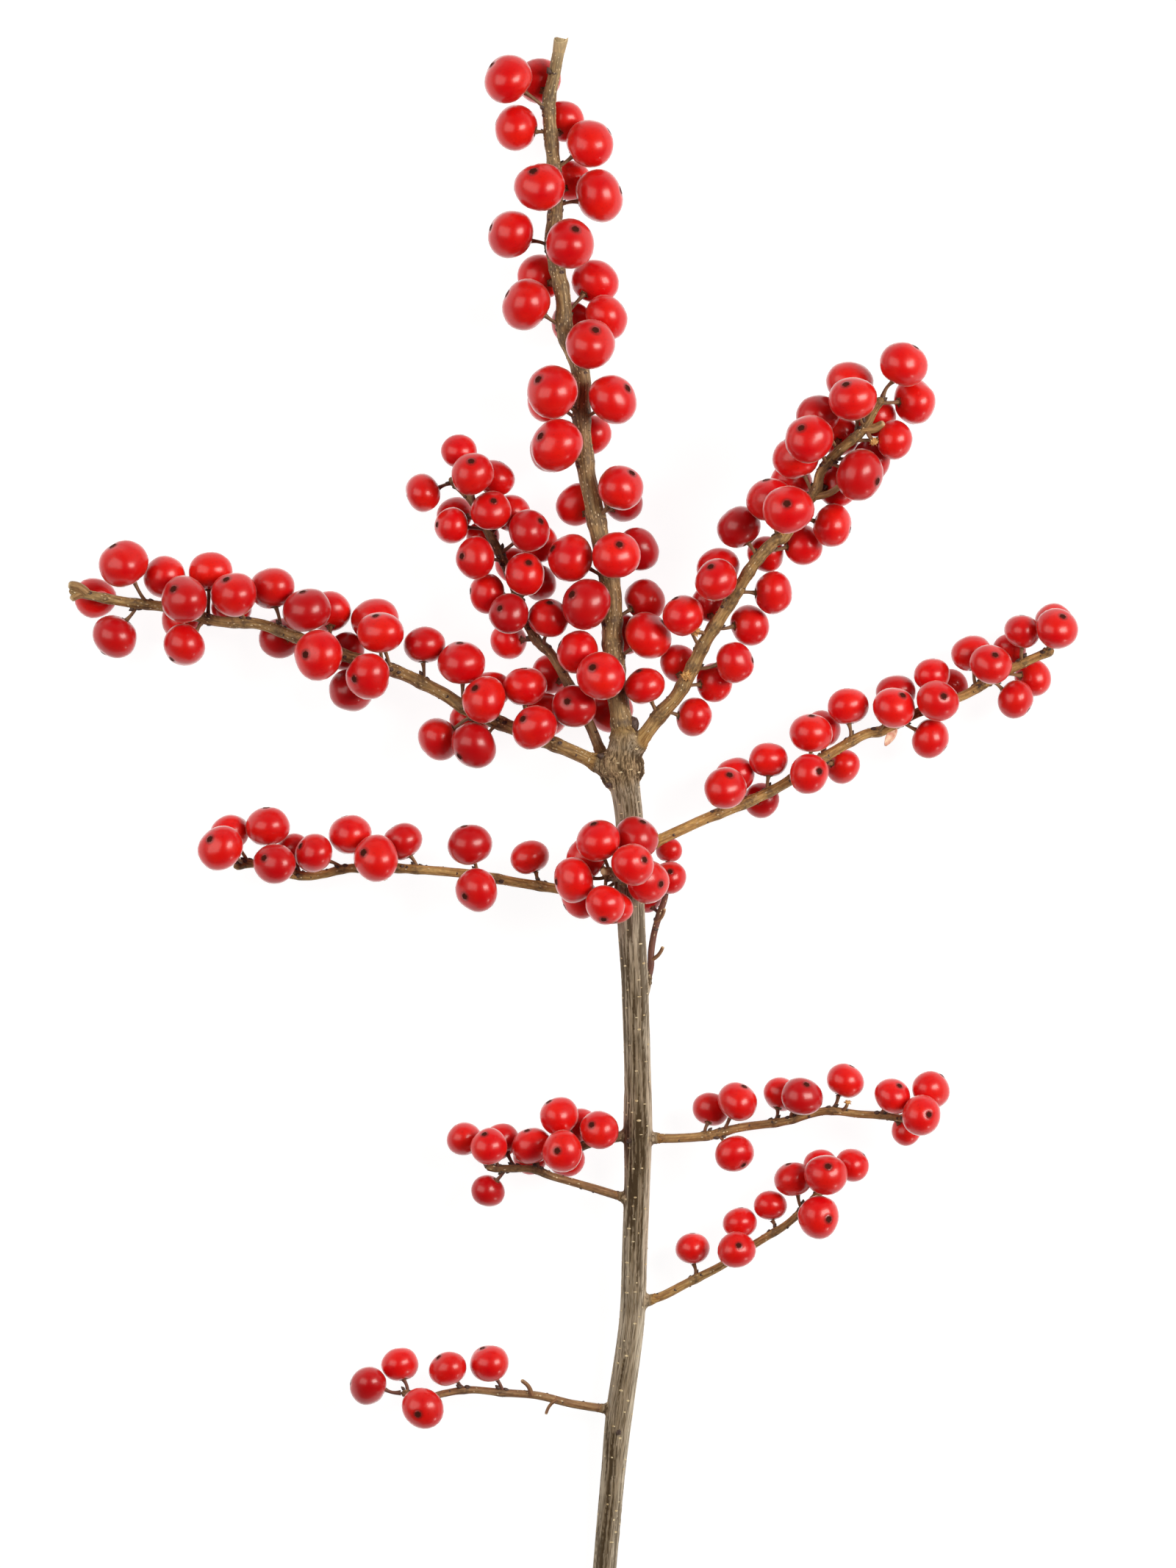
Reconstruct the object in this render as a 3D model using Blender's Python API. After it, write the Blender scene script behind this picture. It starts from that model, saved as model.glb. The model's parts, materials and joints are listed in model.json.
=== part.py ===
"""A cut sprig of winterberry holly, lying on a surface with its best side up.

One stem forks into a leader and side twigs, and every twig carries red berries on short
stalks.  The stem, with its fork and the collars of its twigs, is one solid.  Each twig
with its own berries is another.  Lengths in the tables below are in millimetres: +Y runs
from the cut end to the tip, +X is to the right and +Z is up from the surface.
"""

import math
import random

import bmesh
import bpy
import numpy as np
from mathutils import Vector

MM = 0.001
SEED = 23

# The middle of the sprig's box, in the coordinates of the tables.
BOX_MIDDLE = Vector((-3.0, -11.5, 0.0))

# Wood
STEM_SIDES = 12
TWIG_SIDES = 6
STEM_RING_STEP = 6.5
TWIG_RING_STEP = 7.0
FEWEST_RINGS = 6
PATH_STEPS = 12
HEADING_SPAN = 1.2
CUT_SLANT = 0.8
COLLAR_LENGTH = 1.3
COLLAR_DEPTH = 3.0
COLLAR_FLARE = 1.5
COLLAR_MOUTH = 1.15
COLLAR_SIDES = 8
SEAT_GAP = 0.3

# Berries
BERRY_SIDES = 7
BERRY_BANDS = 5
STALK_SIDES = 3
STALK_RADIUS = 0.42
STALK_LENGTH = 1.5
BERRY_LEAN = 60.0
OBLATE = 0.94
SIZE_SPREAD = 0.07
SUNNY_SWELLING = 0.09
LEAN_SPREAD = 9.0
HOUR_SPREAD = 0.2
STALK_SPREAD = 0.4

# Room between berries, and what they rest on
ROOM_IN_SPRAY = 0.2
ROOM_BETWEEN_SPRAYS = 0.5
STALK_REACH = 6.5
CLEAR_OF_SURFACE = 0.7
RESTING_DEPTH = 0.13
SETTLING_ROUNDS = 500
HOMING = 0.02

# The stem's middle line and radius, from the cut end to the foot of the leader.
STEM = [
    ((2.3, -166.4, 2.2), 2.35),
    ((3.2, -154.0, 2.2), 2.35),
    ((5.0, -133.4, 4.3), 2.4),
    ((6.1, -122.6, 5.3), 2.65),
    ((8.5, -105.0, 6.9), 2.5),
    ((9.1, -90.5, 8.3), 2.5),
    ((9.6, -76.2, 9.6), 2.55),
    ((9.7, -66.5, 10.5), 2.85),
    ((9.6, -54.8, 11.6), 2.6),
    ((9.1, -39.1, 13.0), 2.65),
    ((8.3, -24.8, 14.3), 2.75),
    ((8.1, -9.1, 15.8), 2.7),
    ((7.5, -2.6, 16.4), 2.8),
    ((6.4, 3.8, 17.0), 3.3),
    ((6.8, 9.5, 17.0), 2.4),
]
KNUCKLE_MIDDLE = Vector((6.0, 3.4, 16.3))
KNUCKLE_HALF = Vector((4.4, 3.8, 4.1))

# Each twig has a path of points from its root outwards, a radius at root and tip, and the
# mean radius of its berries.  Its axils give where berries grow: the distance along the
# twig, and for each berry there the hour of a clock that is read along the twig from root
# to tip, with 12 on the upper side, 3 on the twig's right and 6 towards the surface.
# A twig that stands upright turns its clock's 12 to +Y.  A tip berry grows straight on
# from the twig's end, and "rests" means that the twig's lowest berry lies on the surface.
SPRAYS = {
    "spray_leader": {
        "path": [
            (6.9, 9.5, 17.0), (5.4, 19.9, 16.6), (4.7, 28.6, 16.1), (4.6, 37.4, 15.5),
            (2.6, 46.5, 14.9), (0.8, 55.5, 14.2), (-0.4, 61.2, 13.7), (-1.2, 70.8, 13.0),
            (-1.1, 78.8, 12.3), (-4.4, 87.5, 11.7), (-4.9, 94.8, 11.2), (-7.0, 105.1, 10.6),
            (-6.4, 111.2, 10.4), (-6.6, 119.4, 10.3), (-7.6, 131.6, 10.6), (-6.6, 137.8, 10.9),
            (-5.2, 145.0, 11.4),
        ],
        "wood": (2.05, 1.15),
        "berry": (4.45, 4.9),
        "axils": {
            2: [6.5], 8: [11], 12.5: [9.5], 14: [2.5], 17.5: [5], 22: [10.5, 8, 4],
            30.5: [10, 0.5], 32: [3.5], 41.5: [7], 42.5: [2, 4], 53.5: [10.5, 7.5],
            55: [5.5], 61.5: [8, 1.5], 63: [10.5], 71.5: [1.5], 78: [3], 78.5: [5], 81: [9.5],
            82.5: [4], 88.5: [7], 92: [1], 96.5: [9.5], 102.5: [11], 104.5: [3], 106: [5],
            112: [3], 116.5: [5], 118.5: [9], 123: [9.5], 125.5: [6.5],
        },
        "rests": True,
    },
    "spray_left_long": {
        "path": [
            (1.7, 4.1, 16.5), (-4.3, 6.8, 16.0), (-10.9, 9.4, 15.2), (-22.7, 14.2, 13.8),
            (-28.6, 17.8, 13.2), (-37.1, 21.8, 12.4), (-46.7, 24.8, 11.6), (-56.6, 28.5, 11.0),
            (-64.0, 31.1, 10.7), (-72.3, 31.7, 10.5), (-81.1, 34.2, 10.4), (-88.6, 35.2, 10.5),
            (-94.4, 36.2, 10.7), (-100.9, 37.6, 11.0),
        ],
        "wood": (1.4, 0.9),
        "berry": (4.3, 4.55),
        "axils": {
            8.5: [0.5], 11.5: [3.5], 15: [3], 20: [1, 10], 21.5: [3.5], 24: [7], 25: [8.5],
            28: [2.5], 37.5: [3], 43: [11.5], 44.5: [2.5], 46: [3.5], 47: [8], 50: [5],
            54: [11.5], 56.5: [4], 60: [3], 63.5: [6.5], 67: [3], 74: [1.5], 76: [4],
            81.5: [9.5, 3.5], 82: [1], 84: [6.5], 87: [3], 93.5: [2.5], 95.5: [9], 101.5: [6],
        },
        "rests": True,
    },
    "spray_left_steep": {
        "path": [
            (2.6, 5.8, 13.3), (0.0, 12.1, 12.9), (-6.6, 24.4, 12.3), (-10.7, 29.1, 12.0),
            (-15.7, 41.6, 11.7), (-20.0, 50.2, 11.7), (-22.1, 54.5, 11.9), (-26.9, 59.5, 12.3),
        ],
        "wood": (1.05, 0.75),
        "berry": (4.1, 3.65),
        "axils": {
            8: [11.5], 14: [7], 23.5: [1.5], 26: [8], 29: [12], 34.5: [3.5], 35: [1, 9.5],
            39: [3.5, 5], 42.5: [10.5], 44: [2], 46: [6.5], 48: [3.5], 49.5: [1.5, 9.5],
            51: [8], 53: [3], 54.5: [1], 60.5: [9, 3],
        },
        "rests": False,
    },
    "spray_right_steep": {
        "path": [
            (9.7, 7.8, 17.4), (14.3, 13.8, 18.6), (17.3, 17.2, 19.4), (20.3, 22.6, 20.6),
            (22.7, 27.6, 21.8), (27.1, 34.5, 23.5), (32.0, 42.4, 25.6), (36.0, 46.8, 26.9),
            (38.0, 47.8, 27.4), (40.7, 52.4, 28.7), (43.9, 56.4, 29.9), (44.9, 60.1, 30.8),
            (48.3, 64.1, 31.9), (52.8, 68.0, 33.0), (55.2, 72.2, 33.9), (56.6, 74.3, 34.4),
        ],
        "wood": (1.45, 0.8),
        "collar": 2.7,
        "berry": (3.85, 4.55),
        "axils": {
            6.5: [9.5], 7.5: [4], 14: [7, 4], 18.5: [3.5], 22.5: [9], 27: [7], 27.5: [4],
            32.5: [10], 33.5: [8], 35.5: [4], 40: [5], 43.5: [8.5], 46: [4.5], 49: [9.5],
            53.5: [11], 54: [8], 55: [3.5], 60.5: [8.5], 61.5: [4], 67: [10], 67.5: [2],
            68.5: [4.5], 70.5: [6.5, 8.5], 74: [4.5, 7], 75: [8.5], 77.5: [9.5], 83: [4.5],
        },
        "tip_berry": True,
        "rests": False,
    },
    "spray_right_long": {
        "path": [
            (12.6, -11.4, 15.6), (17.0, -9.4, 15.1), (22.7, -6.8, 14.4), (29.4, -4.2, 13.5),
            (37.4, -0.4, 12.5), (45.3, 4.8, 11.5), (53.3, 9.4, 10.7), (57.7, 10.5, 10.4),
            (64.0, 13.8, 10.1), (73.0, 17.2, 9.9), (78.1, 20.1, 10.0), (84.3, 23.4, 10.2),
            (90.6, 26.1, 10.6),
        ],
        "wood": (1.05, 0.85),
        "berry": (3.9, 3.75),
        "axils": {
            13.5: [10.5], 19: [8], 20.5: [6], 24.5: [9], 30: [0.5], 34.5: [9.5], 36.5: [4.5],
            37.5: [8], 43.5: [9], 49: [10.5], 53.5: [8], 54.5: [3], 59.5: [11.5], 61: [9],
            63.5: [7], 70.5: [9], 71.5: [11], 73.5: [3], 76.5: [5], 77: [7], 80.5: [9],
            85.5: [10.5], 86: [8.5],
        },
        "rests": True,
    },
    "spray_left_middle": {
        "path": [
            (5.4, -22.2, 14.5), (-7.4, -20.1, 14.0), (-13.9, -19.1, 13.6), (-23.0, -17.5, 13.1),
            (-36.6, -16.4, 12.4), (-46.3, -16.4, 12.0), (-51.4, -17.5, 11.9),
            (-56.0, -17.8, 11.8), (-64.7, -15.5, 11.9), (-68.9, -16.1, 12.0),
        ],
        "wood": (0.98, 0.8),
        "berry": (3.9, 4.1),
        "axils": {
            14.5: [3], 23: [11], 27: [2.5], 39: [3], 42.5: [1], 50: [2.5], 53.5: [2],
            62: [3.5], 63: [0.5], 68: [3], 72.5: [3], 73.5: [1.5],
        },
        "rests": False,
    },
    "spray_front_cluster": {
        "path": [(7.0, -18.4, 17.4), (5.4, -18.0, 21.0), (3.4, -17.6, 26.5)],
        "wood": (1.1, 0.9),
        "berry": (4.1, 4.2),
        "axils": {2: [11, 9.2, 4.3], 3.5: [2.3, 6], 8: [11.7, 3.3], 9: [6.3, 9.6]},
        "rests": False,
    },
    "spray_back_spur": {
        "path": [
            (11.6, -38.0, 11.9), (12.2, -35.4, 10.2), (12.3, -32.4, 9.7), (12.9, -28.9, 9.5),
            (13.9, -25.3, 9.4), (15.0, -22.0, 9.4), (15.4, -17.6, 9.3),
        ],
        "wood": (0.7, 0.55),
        "berry": (2.9, 2.9),
        "axils": {13: [7.5], 18.5: [12]},
        "tip_berry": True,
        "rests": False,
    },
    "spray_low_left_upper": {
        "path": [(6.9, -68.4, 10.3), (-0.1, -70.1, 11.4), (-3.0, -71.4, 12.1), (-6.0, -72.8, 12.9)],
        "wood": (0.85, 0.7),
        "berry": (3.75, 3.65),
        "axils": {2: [1], 5: [4], 8.5: [3], 11: [0.5, 6.5]},
        "rests": False,
    },
    "spray_low_left_lower": {
        "path": [
            (7.0, -80.5, 9.2), (0.6, -78.5, 9.6), (-6.7, -76.4, 10.0), (-11.1, -74.9, 10.2),
            (-17.7, -74.8, 10.4), (-19.9, -74.4, 10.5),
        ],
        "wood": (0.85, 0.65),
        "berry": (3.45, 3.65),
        "axils": {16: [5], 17.5: [2.5], 22: [4], 24: [8.5], 25.5: [2], 27.5: [3.5]},
        "rests": False,
    },
    "spray_low_right_upper": {
        "path": [
            (12.9, -68.9, 10.3), (17.0, -68.9, 10.5), (23.3, -68.4, 10.9), (29.6, -66.8, 11.4),
            (37.9, -65.6, 12.1), (44.1, -63.9, 12.6), (47.6, -63.5, 12.9), (52.6, -64.1, 13.3),
            (57.6, -64.4, 13.8), (62.6, -65.2, 14.4),
        ],
        "wood": (0.9, 0.7),
        "berry": (3.75, 3.65),
        "axils": {
            10: [8.5], 12.5: [2], 13.5: [9.5], 23.5: [8.5], 27: [10.5], 35: [9], 44.5: [10.5],
            46.5: [5], 49.5: [11.5], 50: [9.5],
        },
        "rests": False,
    },
    "spray_low_right_lower": {
        "path": [
            (11.7, -100.6, 7.3), (14.9, -99.5, 7.7), (19.4, -97.1, 8.4), (25.3, -94.1, 9.4),
            (28.7, -91.9, 10.0), (34.6, -88.1, 11.0), (37.9, -86.1, 11.5), (40.9, -83.6, 12.0),
            (44.1, -80.2, 12.5), (46.3, -78.2, 12.8),
        ],
        "wood": (0.9, 0.65),
        "berry": (3.45, 3.65),
        "axils": {
            10: [9], 18.5: [11.5], 20.5: [9], 28: [9], 34.5: [1], 35.5: [9], 40: [8],
            41: [11.5],
        },
        "tip_berry": True,
        "rests": False,
    },
    "spray_bottom_left": {
        "path": [
            (3.9, -121.9, 5.4), (-3.0, -120.8, 6.2), (-9.9, -119.1, 7.2), (-16.7, -118.5, 8.2),
            (-23.0, -117.9, 9.0), (-28.1, -118.6, 9.5), (-31.3, -119.4, 9.8), (-36.4, -118.4, 10.2),
        ],
        "wood": (0.85, 0.65),
        "berry": (3.7, 3.8),
        "axils": {21: [2.5], 28.5: [2], 35: [11.5], 40: [3.5]},
        "tip_berry": True,
        "rests": False,
    },
}

BARK_COLOURS = {
    "main_stem": (0.16, 0.13, 0.10),
    "spray_leader": (0.12, 0.085, 0.045),
    "spray_left_long": (0.12, 0.085, 0.045),
    "spray_back_spur": (0.17, 0.05, 0.03),
}
TWIG_COLOUR = (0.22, 0.14, 0.05)
BERRY_COLOUR = (0.60, 0.008, 0.012)


class Path:
    """A smooth curve through a few points, read by the distance from its root."""

    def __init__(self, knots):
        knots = [Vector(knot) for knot in knots]
        first = 2 * knots[0] - knots[1]
        last = 2 * knots[-1] - knots[-2]
        padded = [first, *knots, last]
        self.points = []
        for before, start, end, after in zip(padded, padded[1:], padded[2:], padded[3:]):
            for step in range(PATH_STEPS):
                self.points.append(between(before, start, end, after, step / PATH_STEPS))
        self.points.append(knots[-1])
        self.along = [0.0]
        for start, end in zip(self.points, self.points[1:]):
            self.along.append(self.along[-1] + (end - start).length)
        self.length = self.along[-1]

    def at(self, distance):
        """The point that lies this far along."""
        index = int(np.searchsorted(self.along, distance)) - 1
        index = min(max(index, 0), len(self.points) - 2)
        start, end = self.points[index], self.points[index + 1]
        span = self.along[index + 1] - self.along[index]
        return start.lerp(end, (distance - self.along[index]) / span)

    def heading(self, distance):
        """The direction towards the tip, this far along."""
        near = min(max(distance - HEADING_SPAN / 2, 0.0), self.length - HEADING_SPAN)
        return (self.at(near + HEADING_SPAN) - self.at(near)).normalized()


def between(before, start, end, after, share):
    """A point of the Catmull-Rom curve, at this share of the way from start to end."""
    slope_in = (end - before) / 2
    slope_out = (after - start) / 2
    square = share * share
    cube = square * share
    return (
        start * (2 * cube - 3 * square + 1)
        + slope_in * (cube - 2 * square + share)
        + end * (3 * square - 2 * cube)
        + slope_out * (cube - square)
    )


def clock_axes(heading):
    """The directions of 12 and 3 o'clock on a twig that runs along heading."""
    upright = abs(heading.z) > 0.8
    face = Vector((0, 1, 0)) if upright else Vector((0, 0, 1))
    twelve = (face - heading * face.dot(heading)).normalized()
    return twelve, heading.cross(twelve)


class Berry:
    """One berry: where its stalk leaves the twig, its middle and its radius."""

    def __init__(self, spray, axil, middle, radius):
        self.spray = spray
        self.axil = axil
        self.middle = middle
        self.radius = radius
        self.rests = False


def grow_berries(path, name, spray, draw):
    """The berries of one twig, where their axils and hours put them."""
    places = [(distance, hour) for distance, hours in spray["axils"].items() for hour in hours]
    if spray.get("tip_berry"):
        places.append((path.length, None))
    berries = []
    for distance, hour in places:
        axil = path.at(distance)
        heading = path.heading(distance)
        lean = math.radians(BERRY_LEAN + draw.uniform(-LEAN_SPREAD, LEAN_SPREAD))
        turn = draw.uniform(-HOUR_SPREAD, HOUR_SPREAD)
        at_root, at_tip = spray["berry"]
        radius = at_root + (at_tip - at_root) * distance / path.length
        radius *= 1 + draw.uniform(-SIZE_SPREAD, SIZE_SPREAD)
        stalk = STALK_LENGTH + draw.uniform(-STALK_SPREAD, STALK_SPREAD)
        towards = heading
        if hour is not None:
            twelve, three = clock_axes(heading)
            angle = math.radians(30 * (hour + turn))
            outward = twelve * math.cos(angle) + three * math.sin(angle)
            towards = heading * math.cos(lean) + outward * math.sin(lean)
            radius *= 1 + SUNNY_SWELLING * math.cos(angle)
        middle = axil + towards * (spray["wood"][0] + stalk + radius)
        berries.append(Berry(name, axil, middle, radius))
    return berries


def nearest_on_runs(points, starts, ends):
    """For each point and each straight run, the step from the run to the point."""
    runs = ends - starts
    lengths = np.maximum((runs * runs).sum(axis=1), 1e-9)
    offsets = points[:, None, :] - starts[None, :, :]
    shares = np.clip((offsets * runs[None]).sum(axis=2) / lengths, 0, 1)
    return offsets - shares[:, :, None] * runs[None], shares


def settle(berries, wood_runs):
    """Move the berries apart, clear of all wood and stalks, and off the surface.

    Each berry keeps near the place where it grew, within reach of its stalk.
    """
    middles = np.array([berry.middle for berry in berries])
    homes = middles.copy()
    axils = np.array([berry.axil for berry in berries])
    radii = np.array([berry.radius for berry in berries])
    names = np.array([berry.spray for berry in berries])
    same = names[:, None] == names[None, :]
    room = np.where(same, ROOM_IN_SPRAY, ROOM_BETWEEN_SPRAYS)
    apart = radii[:, None] + radii[None, :] + room
    np.fill_diagonal(apart, 0)
    starts = np.array([run[0] for run in wood_runs])
    ends = np.array([run[1] for run in wood_runs])
    clear = radii[:, None] + np.array([run[2] for run in wood_runs])[None, :] + ROOM_BETWEEN_SPRAYS
    stalk_clear = radii[:, None] + STALK_RADIUS + room
    np.fill_diagonal(stalk_clear, 0)
    for _ in range(SETTLING_ROUNDS):
        moves = HOMING * (homes - middles)

        steps = middles[:, None, :] - middles[None, :, :]
        gaps = np.maximum(np.linalg.norm(steps, axis=2), 1e-6)
        short = np.clip(apart - gaps, 0, None)
        moves += (steps * (0.5 * short / gaps)[:, :, None]).sum(axis=1)

        steps, _ = nearest_on_runs(middles, starts, ends)
        gaps = np.maximum(np.linalg.norm(steps, axis=2), 1e-6)
        short = np.clip(clear - gaps, 0, None)
        deepest = short.argmax(axis=1)
        rows = np.arange(len(berries))
        push = steps[rows, deepest] * (short[rows, deepest] / gaps[rows, deepest])[:, None]
        moves += push

        stalk_ends = middles + (axils - middles) * 0.5
        steps, _ = nearest_on_runs(middles, axils, stalk_ends)
        gaps = np.maximum(np.linalg.norm(steps, axis=2), 1e-6)
        short = np.clip(stalk_clear - gaps, 0, None)
        stalk_push = steps * (0.5 * short / gaps)[:, :, None]
        moves += stalk_push.sum(axis=1) - 0.5 * stalk_push.sum(axis=0)

        middles += 0.6 * moves
        reach = middles - axils
        far = np.linalg.norm(reach, axis=1)
        allowed = np.minimum(far, radii + STALK_REACH)
        middles = axils + reach * (allowed / far)[:, None]
        middles[:, 2] = np.maximum(middles[:, 2], radii + CLEAR_OF_SURFACE)
    for berry, middle in zip(berries, middles):
        berry.middle = Vector(middle)


def rest_lowest(berries, name):
    """Let the lowest berry of a twig rest on the surface, pressed a little flat."""
    own = [berry for berry in berries if berry.spray == name]
    lowest = min(own, key=lambda berry: berry.middle.z - berry.radius)
    lowest.middle.z = lowest.radius * (1 - RESTING_DEPTH)
    lowest.rests = True


def ring(mesh, centre, twelve, three, radius, sides, slant=Vector((0, 0, 0))):
    """A ring of vertices; slant shifts the upper side of a slanted cut."""
    vertices = []
    for index in range(sides):
        angle = math.tau * (index + 0.5) / sides
        side = twelve * math.cos(angle) + three * math.sin(angle)
        vertices.append(mesh.verts.new(centre + side * radius + slant * math.cos(angle)))
    return vertices


def join_rings(mesh, near, far):
    """The faces between two rings, which may differ in their number of vertices."""
    count, other = len(far), len(near)
    partner = [round(index * other / count) % other for index in range(count)]
    for index in range(count):
        following = (index + 1) % count
        if count == other:
            mesh.faces.new((near[index], near[following], far[following], far[index]))
            continue
        mesh.faces.new((far[index], near[partner[index]], far[following]))
        if partner[index] != partner[following]:
            mesh.faces.new((far[following], near[partner[index]], near[partner[following]]))


def tube_mesh(path, distances, radii, sides, slant=0.0):
    """A closed tube along a path, with its first end cut at a slant."""
    mesh = bmesh.new()
    rings = []
    for index, (distance, radius) in enumerate(zip(distances, radii)):
        heading = path.heading(distance)
        twelve, three = clock_axes(heading)
        shift = heading * slant * radius if index == 0 else Vector((0, 0, 0))
        rings.append(ring(mesh, path.at(distance), twelve, three, radius, sides, shift))
    for near, far in zip(rings, rings[1:]):
        join_rings(mesh, near, far)
    mesh.faces.new(list(reversed(rings[0])))
    mesh.faces.new(rings[-1])
    return mesh


def flatten_underside(mesh):
    """Lift what lies below the surface up to it, which leaves a flat to rest on."""
    for vertex in mesh.verts:
        vertex.co.z = max(vertex.co.z, 0.0)


def make_object(name, mesh):
    """A Blender object from a mesh in the tables' millimetres, with faces outwards."""
    bmesh.ops.recalc_face_normals(mesh, faces=mesh.faces)
    for vertex in mesh.verts:
        vertex.co = (vertex.co - BOX_MIDDLE) * MM
    data = bpy.data.meshes.new(name)
    mesh.to_mesh(data)
    mesh.free()
    thing = bpy.data.objects.new(name, data)
    bpy.context.scene.collection.objects.link(thing)
    return thing


def berry_object(berry, index):
    """A faceted berry and its stalk, whose root lies in the middle of the twig."""
    mesh = bmesh.new()
    axis = (berry.middle - berry.axil).normalized()
    side = axis.orthogonal().normalized()
    across = axis.cross(side)
    base = berry.middle - axis * berry.radius * OBLATE
    root = ring(mesh, berry.axil, side, across, STALK_RADIUS, STALK_SIDES)
    neck = ring(mesh, base, side, across, STALK_RADIUS, STALK_SIDES)
    mesh.faces.new(list(reversed(root)))
    join_rings(mesh, root, neck)
    last = neck
    for band in range(1, BERRY_BANDS):
        polar = math.pi * band / BERRY_BANDS
        centre = berry.middle - axis * berry.radius * OBLATE * math.cos(polar)
        girth = ring(mesh, centre, side, across, berry.radius * math.sin(polar), BERRY_SIDES)
        join_rings(mesh, last, girth)
        last = girth
    pole = mesh.verts.new(berry.middle + axis * berry.radius * OBLATE)
    for near, far in zip(last, [*last[1:], last[0]]):
        mesh.faces.new((near, far, pole))
    if berry.rests:
        rest_on_surface(mesh)
    return make_object(f"{berry.spray}_berry_{index}", mesh)


def rest_on_surface(mesh):
    """Cut a resting berry off at the surface, so that it has a small flat spot."""
    everything = [*mesh.verts, *mesh.edges, *mesh.faces]
    cut = bmesh.ops.bisect_plane(
        mesh, geom=everything, plane_co=(0, 0, 0), plane_no=(0, 0, 1), clear_inner=True
    )
    rim = [item for item in cut["geom_cut"] if isinstance(item, bmesh.types.BMEdge)]
    bmesh.ops.edgeloop_fill(mesh, edges=rim)


def twig_object(name, path, spray):
    """The wood of one twig, which starts a gap away from its collar on the stem."""
    start = spray.get("collar", COLLAR_LENGTH) + SEAT_GAP
    count = max(FEWEST_RINGS, round((path.length - start) / TWIG_RING_STEP) + 1)
    distances = np.linspace(start, path.length, count)
    thick, thin = spray["wood"]
    radii = [thick + (thin - thick) * distance / path.length for distance in distances]
    return make_object(name, tube_mesh(path, distances, radii, TWIG_SIDES))


def stem_object(paths):
    """The stem with its knuckle at the fork and a collar for every twig."""
    path = Path([point for point, _ in STEM])
    knots = [path.along[index * PATH_STEPS] for index in range(len(STEM))]
    radii_at_knots = [radius for _, radius in STEM]
    count = round(path.length / STEM_RING_STEP) + 1
    distances = np.linspace(0, path.length, count)
    radii = np.interp(distances, knots, radii_at_knots)
    mesh = tube_mesh(path, distances, radii, STEM_SIDES, slant=CUT_SLANT)
    flatten_underside(mesh)
    stem = make_object("main_stem", mesh)
    parts = [knuckle_object()]
    parts += [collar_object(name, path, SPRAYS[name]) for name, path in paths.items()]
    return fuse(stem, parts)


def knuckle_object():
    """The swelling where the leader and three side twigs leave the stem."""
    mesh = bmesh.new()
    bmesh.ops.create_uvsphere(mesh, u_segments=10, v_segments=7, radius=1.0)
    for vertex in mesh.verts:
        stretched = [value * half for value, half in zip(vertex.co, KNUCKLE_HALF)]
        vertex.co = KNUCKLE_MIDDLE + Vector(stretched)
    return make_object("knuckle", mesh)


def collar_object(name, path, spray):
    """The swollen foot of a twig, from inside the stem to the twig's own start."""
    distances = [-COLLAR_DEPTH, 0.0, spray.get("collar", COLLAR_LENGTH)]
    flares = [COLLAR_FLARE, (COLLAR_FLARE + COLLAR_MOUTH) / 2, COLLAR_MOUTH]
    radii = [spray["wood"][0] * flare for flare in flares]
    return make_object(f"{name}_collar", tube_mesh(path, distances, radii, COLLAR_SIDES))


def fuse(base, parts):
    """Join the parts to the base with one Boolean union, and remove them."""
    group = bpy.data.collections.new(f"{base.name}_parts")
    bpy.context.scene.collection.children.link(group)
    for part in parts:
        bpy.context.scene.collection.objects.unlink(part)
        group.objects.link(part)
    union = base.modifiers.new("union", "BOOLEAN")
    union.operation = "UNION"
    union.operand_type = "COLLECTION"
    union.collection = group
    union.solver = "EXACT"
    union.material_mode = "TRANSFER"
    view = bpy.context.evaluated_depsgraph_get()
    fused = bpy.data.meshes.new_from_object(base.evaluated_get(view))
    base.modifiers.clear()
    rough = base.data
    base.data = fused
    fused.name = base.name
    bpy.data.meshes.remove(rough)
    for part in parts:
        data = part.data
        bpy.data.objects.remove(part)
        bpy.data.meshes.remove(data)
    bpy.data.collections.remove(group)
    return base


def material(name, colour, roughness):
    """A plain Principled material."""
    made = bpy.data.materials.new(name)
    made.use_nodes = True
    shader = made.node_tree.nodes["Principled BSDF"]
    shader.inputs["Base Color"].default_value = (*colour, 1)
    shader.inputs["Roughness"].default_value = roughness
    shader.inputs["Metallic"].default_value = 0.0
    return made


def clear_scene():
    """Remove the objects that a new Blender file starts with."""
    for thing in list(bpy.data.objects):
        bpy.data.objects.remove(thing)


def wood_runs(paths):
    """Straight runs with a radius that stand for all the wood when berries settle."""
    runs = []
    for (start, radius), (end, _) in zip(STEM, STEM[1:]):
        runs.append((Vector(start), Vector(end), radius + 0.2))
    wide = KNUCKLE_HALF.y
    runs.append((KNUCKLE_MIDDLE, KNUCKLE_MIDDLE + Vector((0.2, 1.0, 0)), wide + 0.3))
    for name, path in paths.items():
        thick, thin = SPRAYS[name]["wood"]
        count = max(2, math.ceil(path.length / 5))
        stops = np.linspace(0, path.length, count)
        for near, far in zip(stops, stops[1:]):
            radius = thick + (thin - thick) * near / path.length
            runs.append((path.at(near), path.at(far), radius + 0.1))
    return runs


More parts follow.
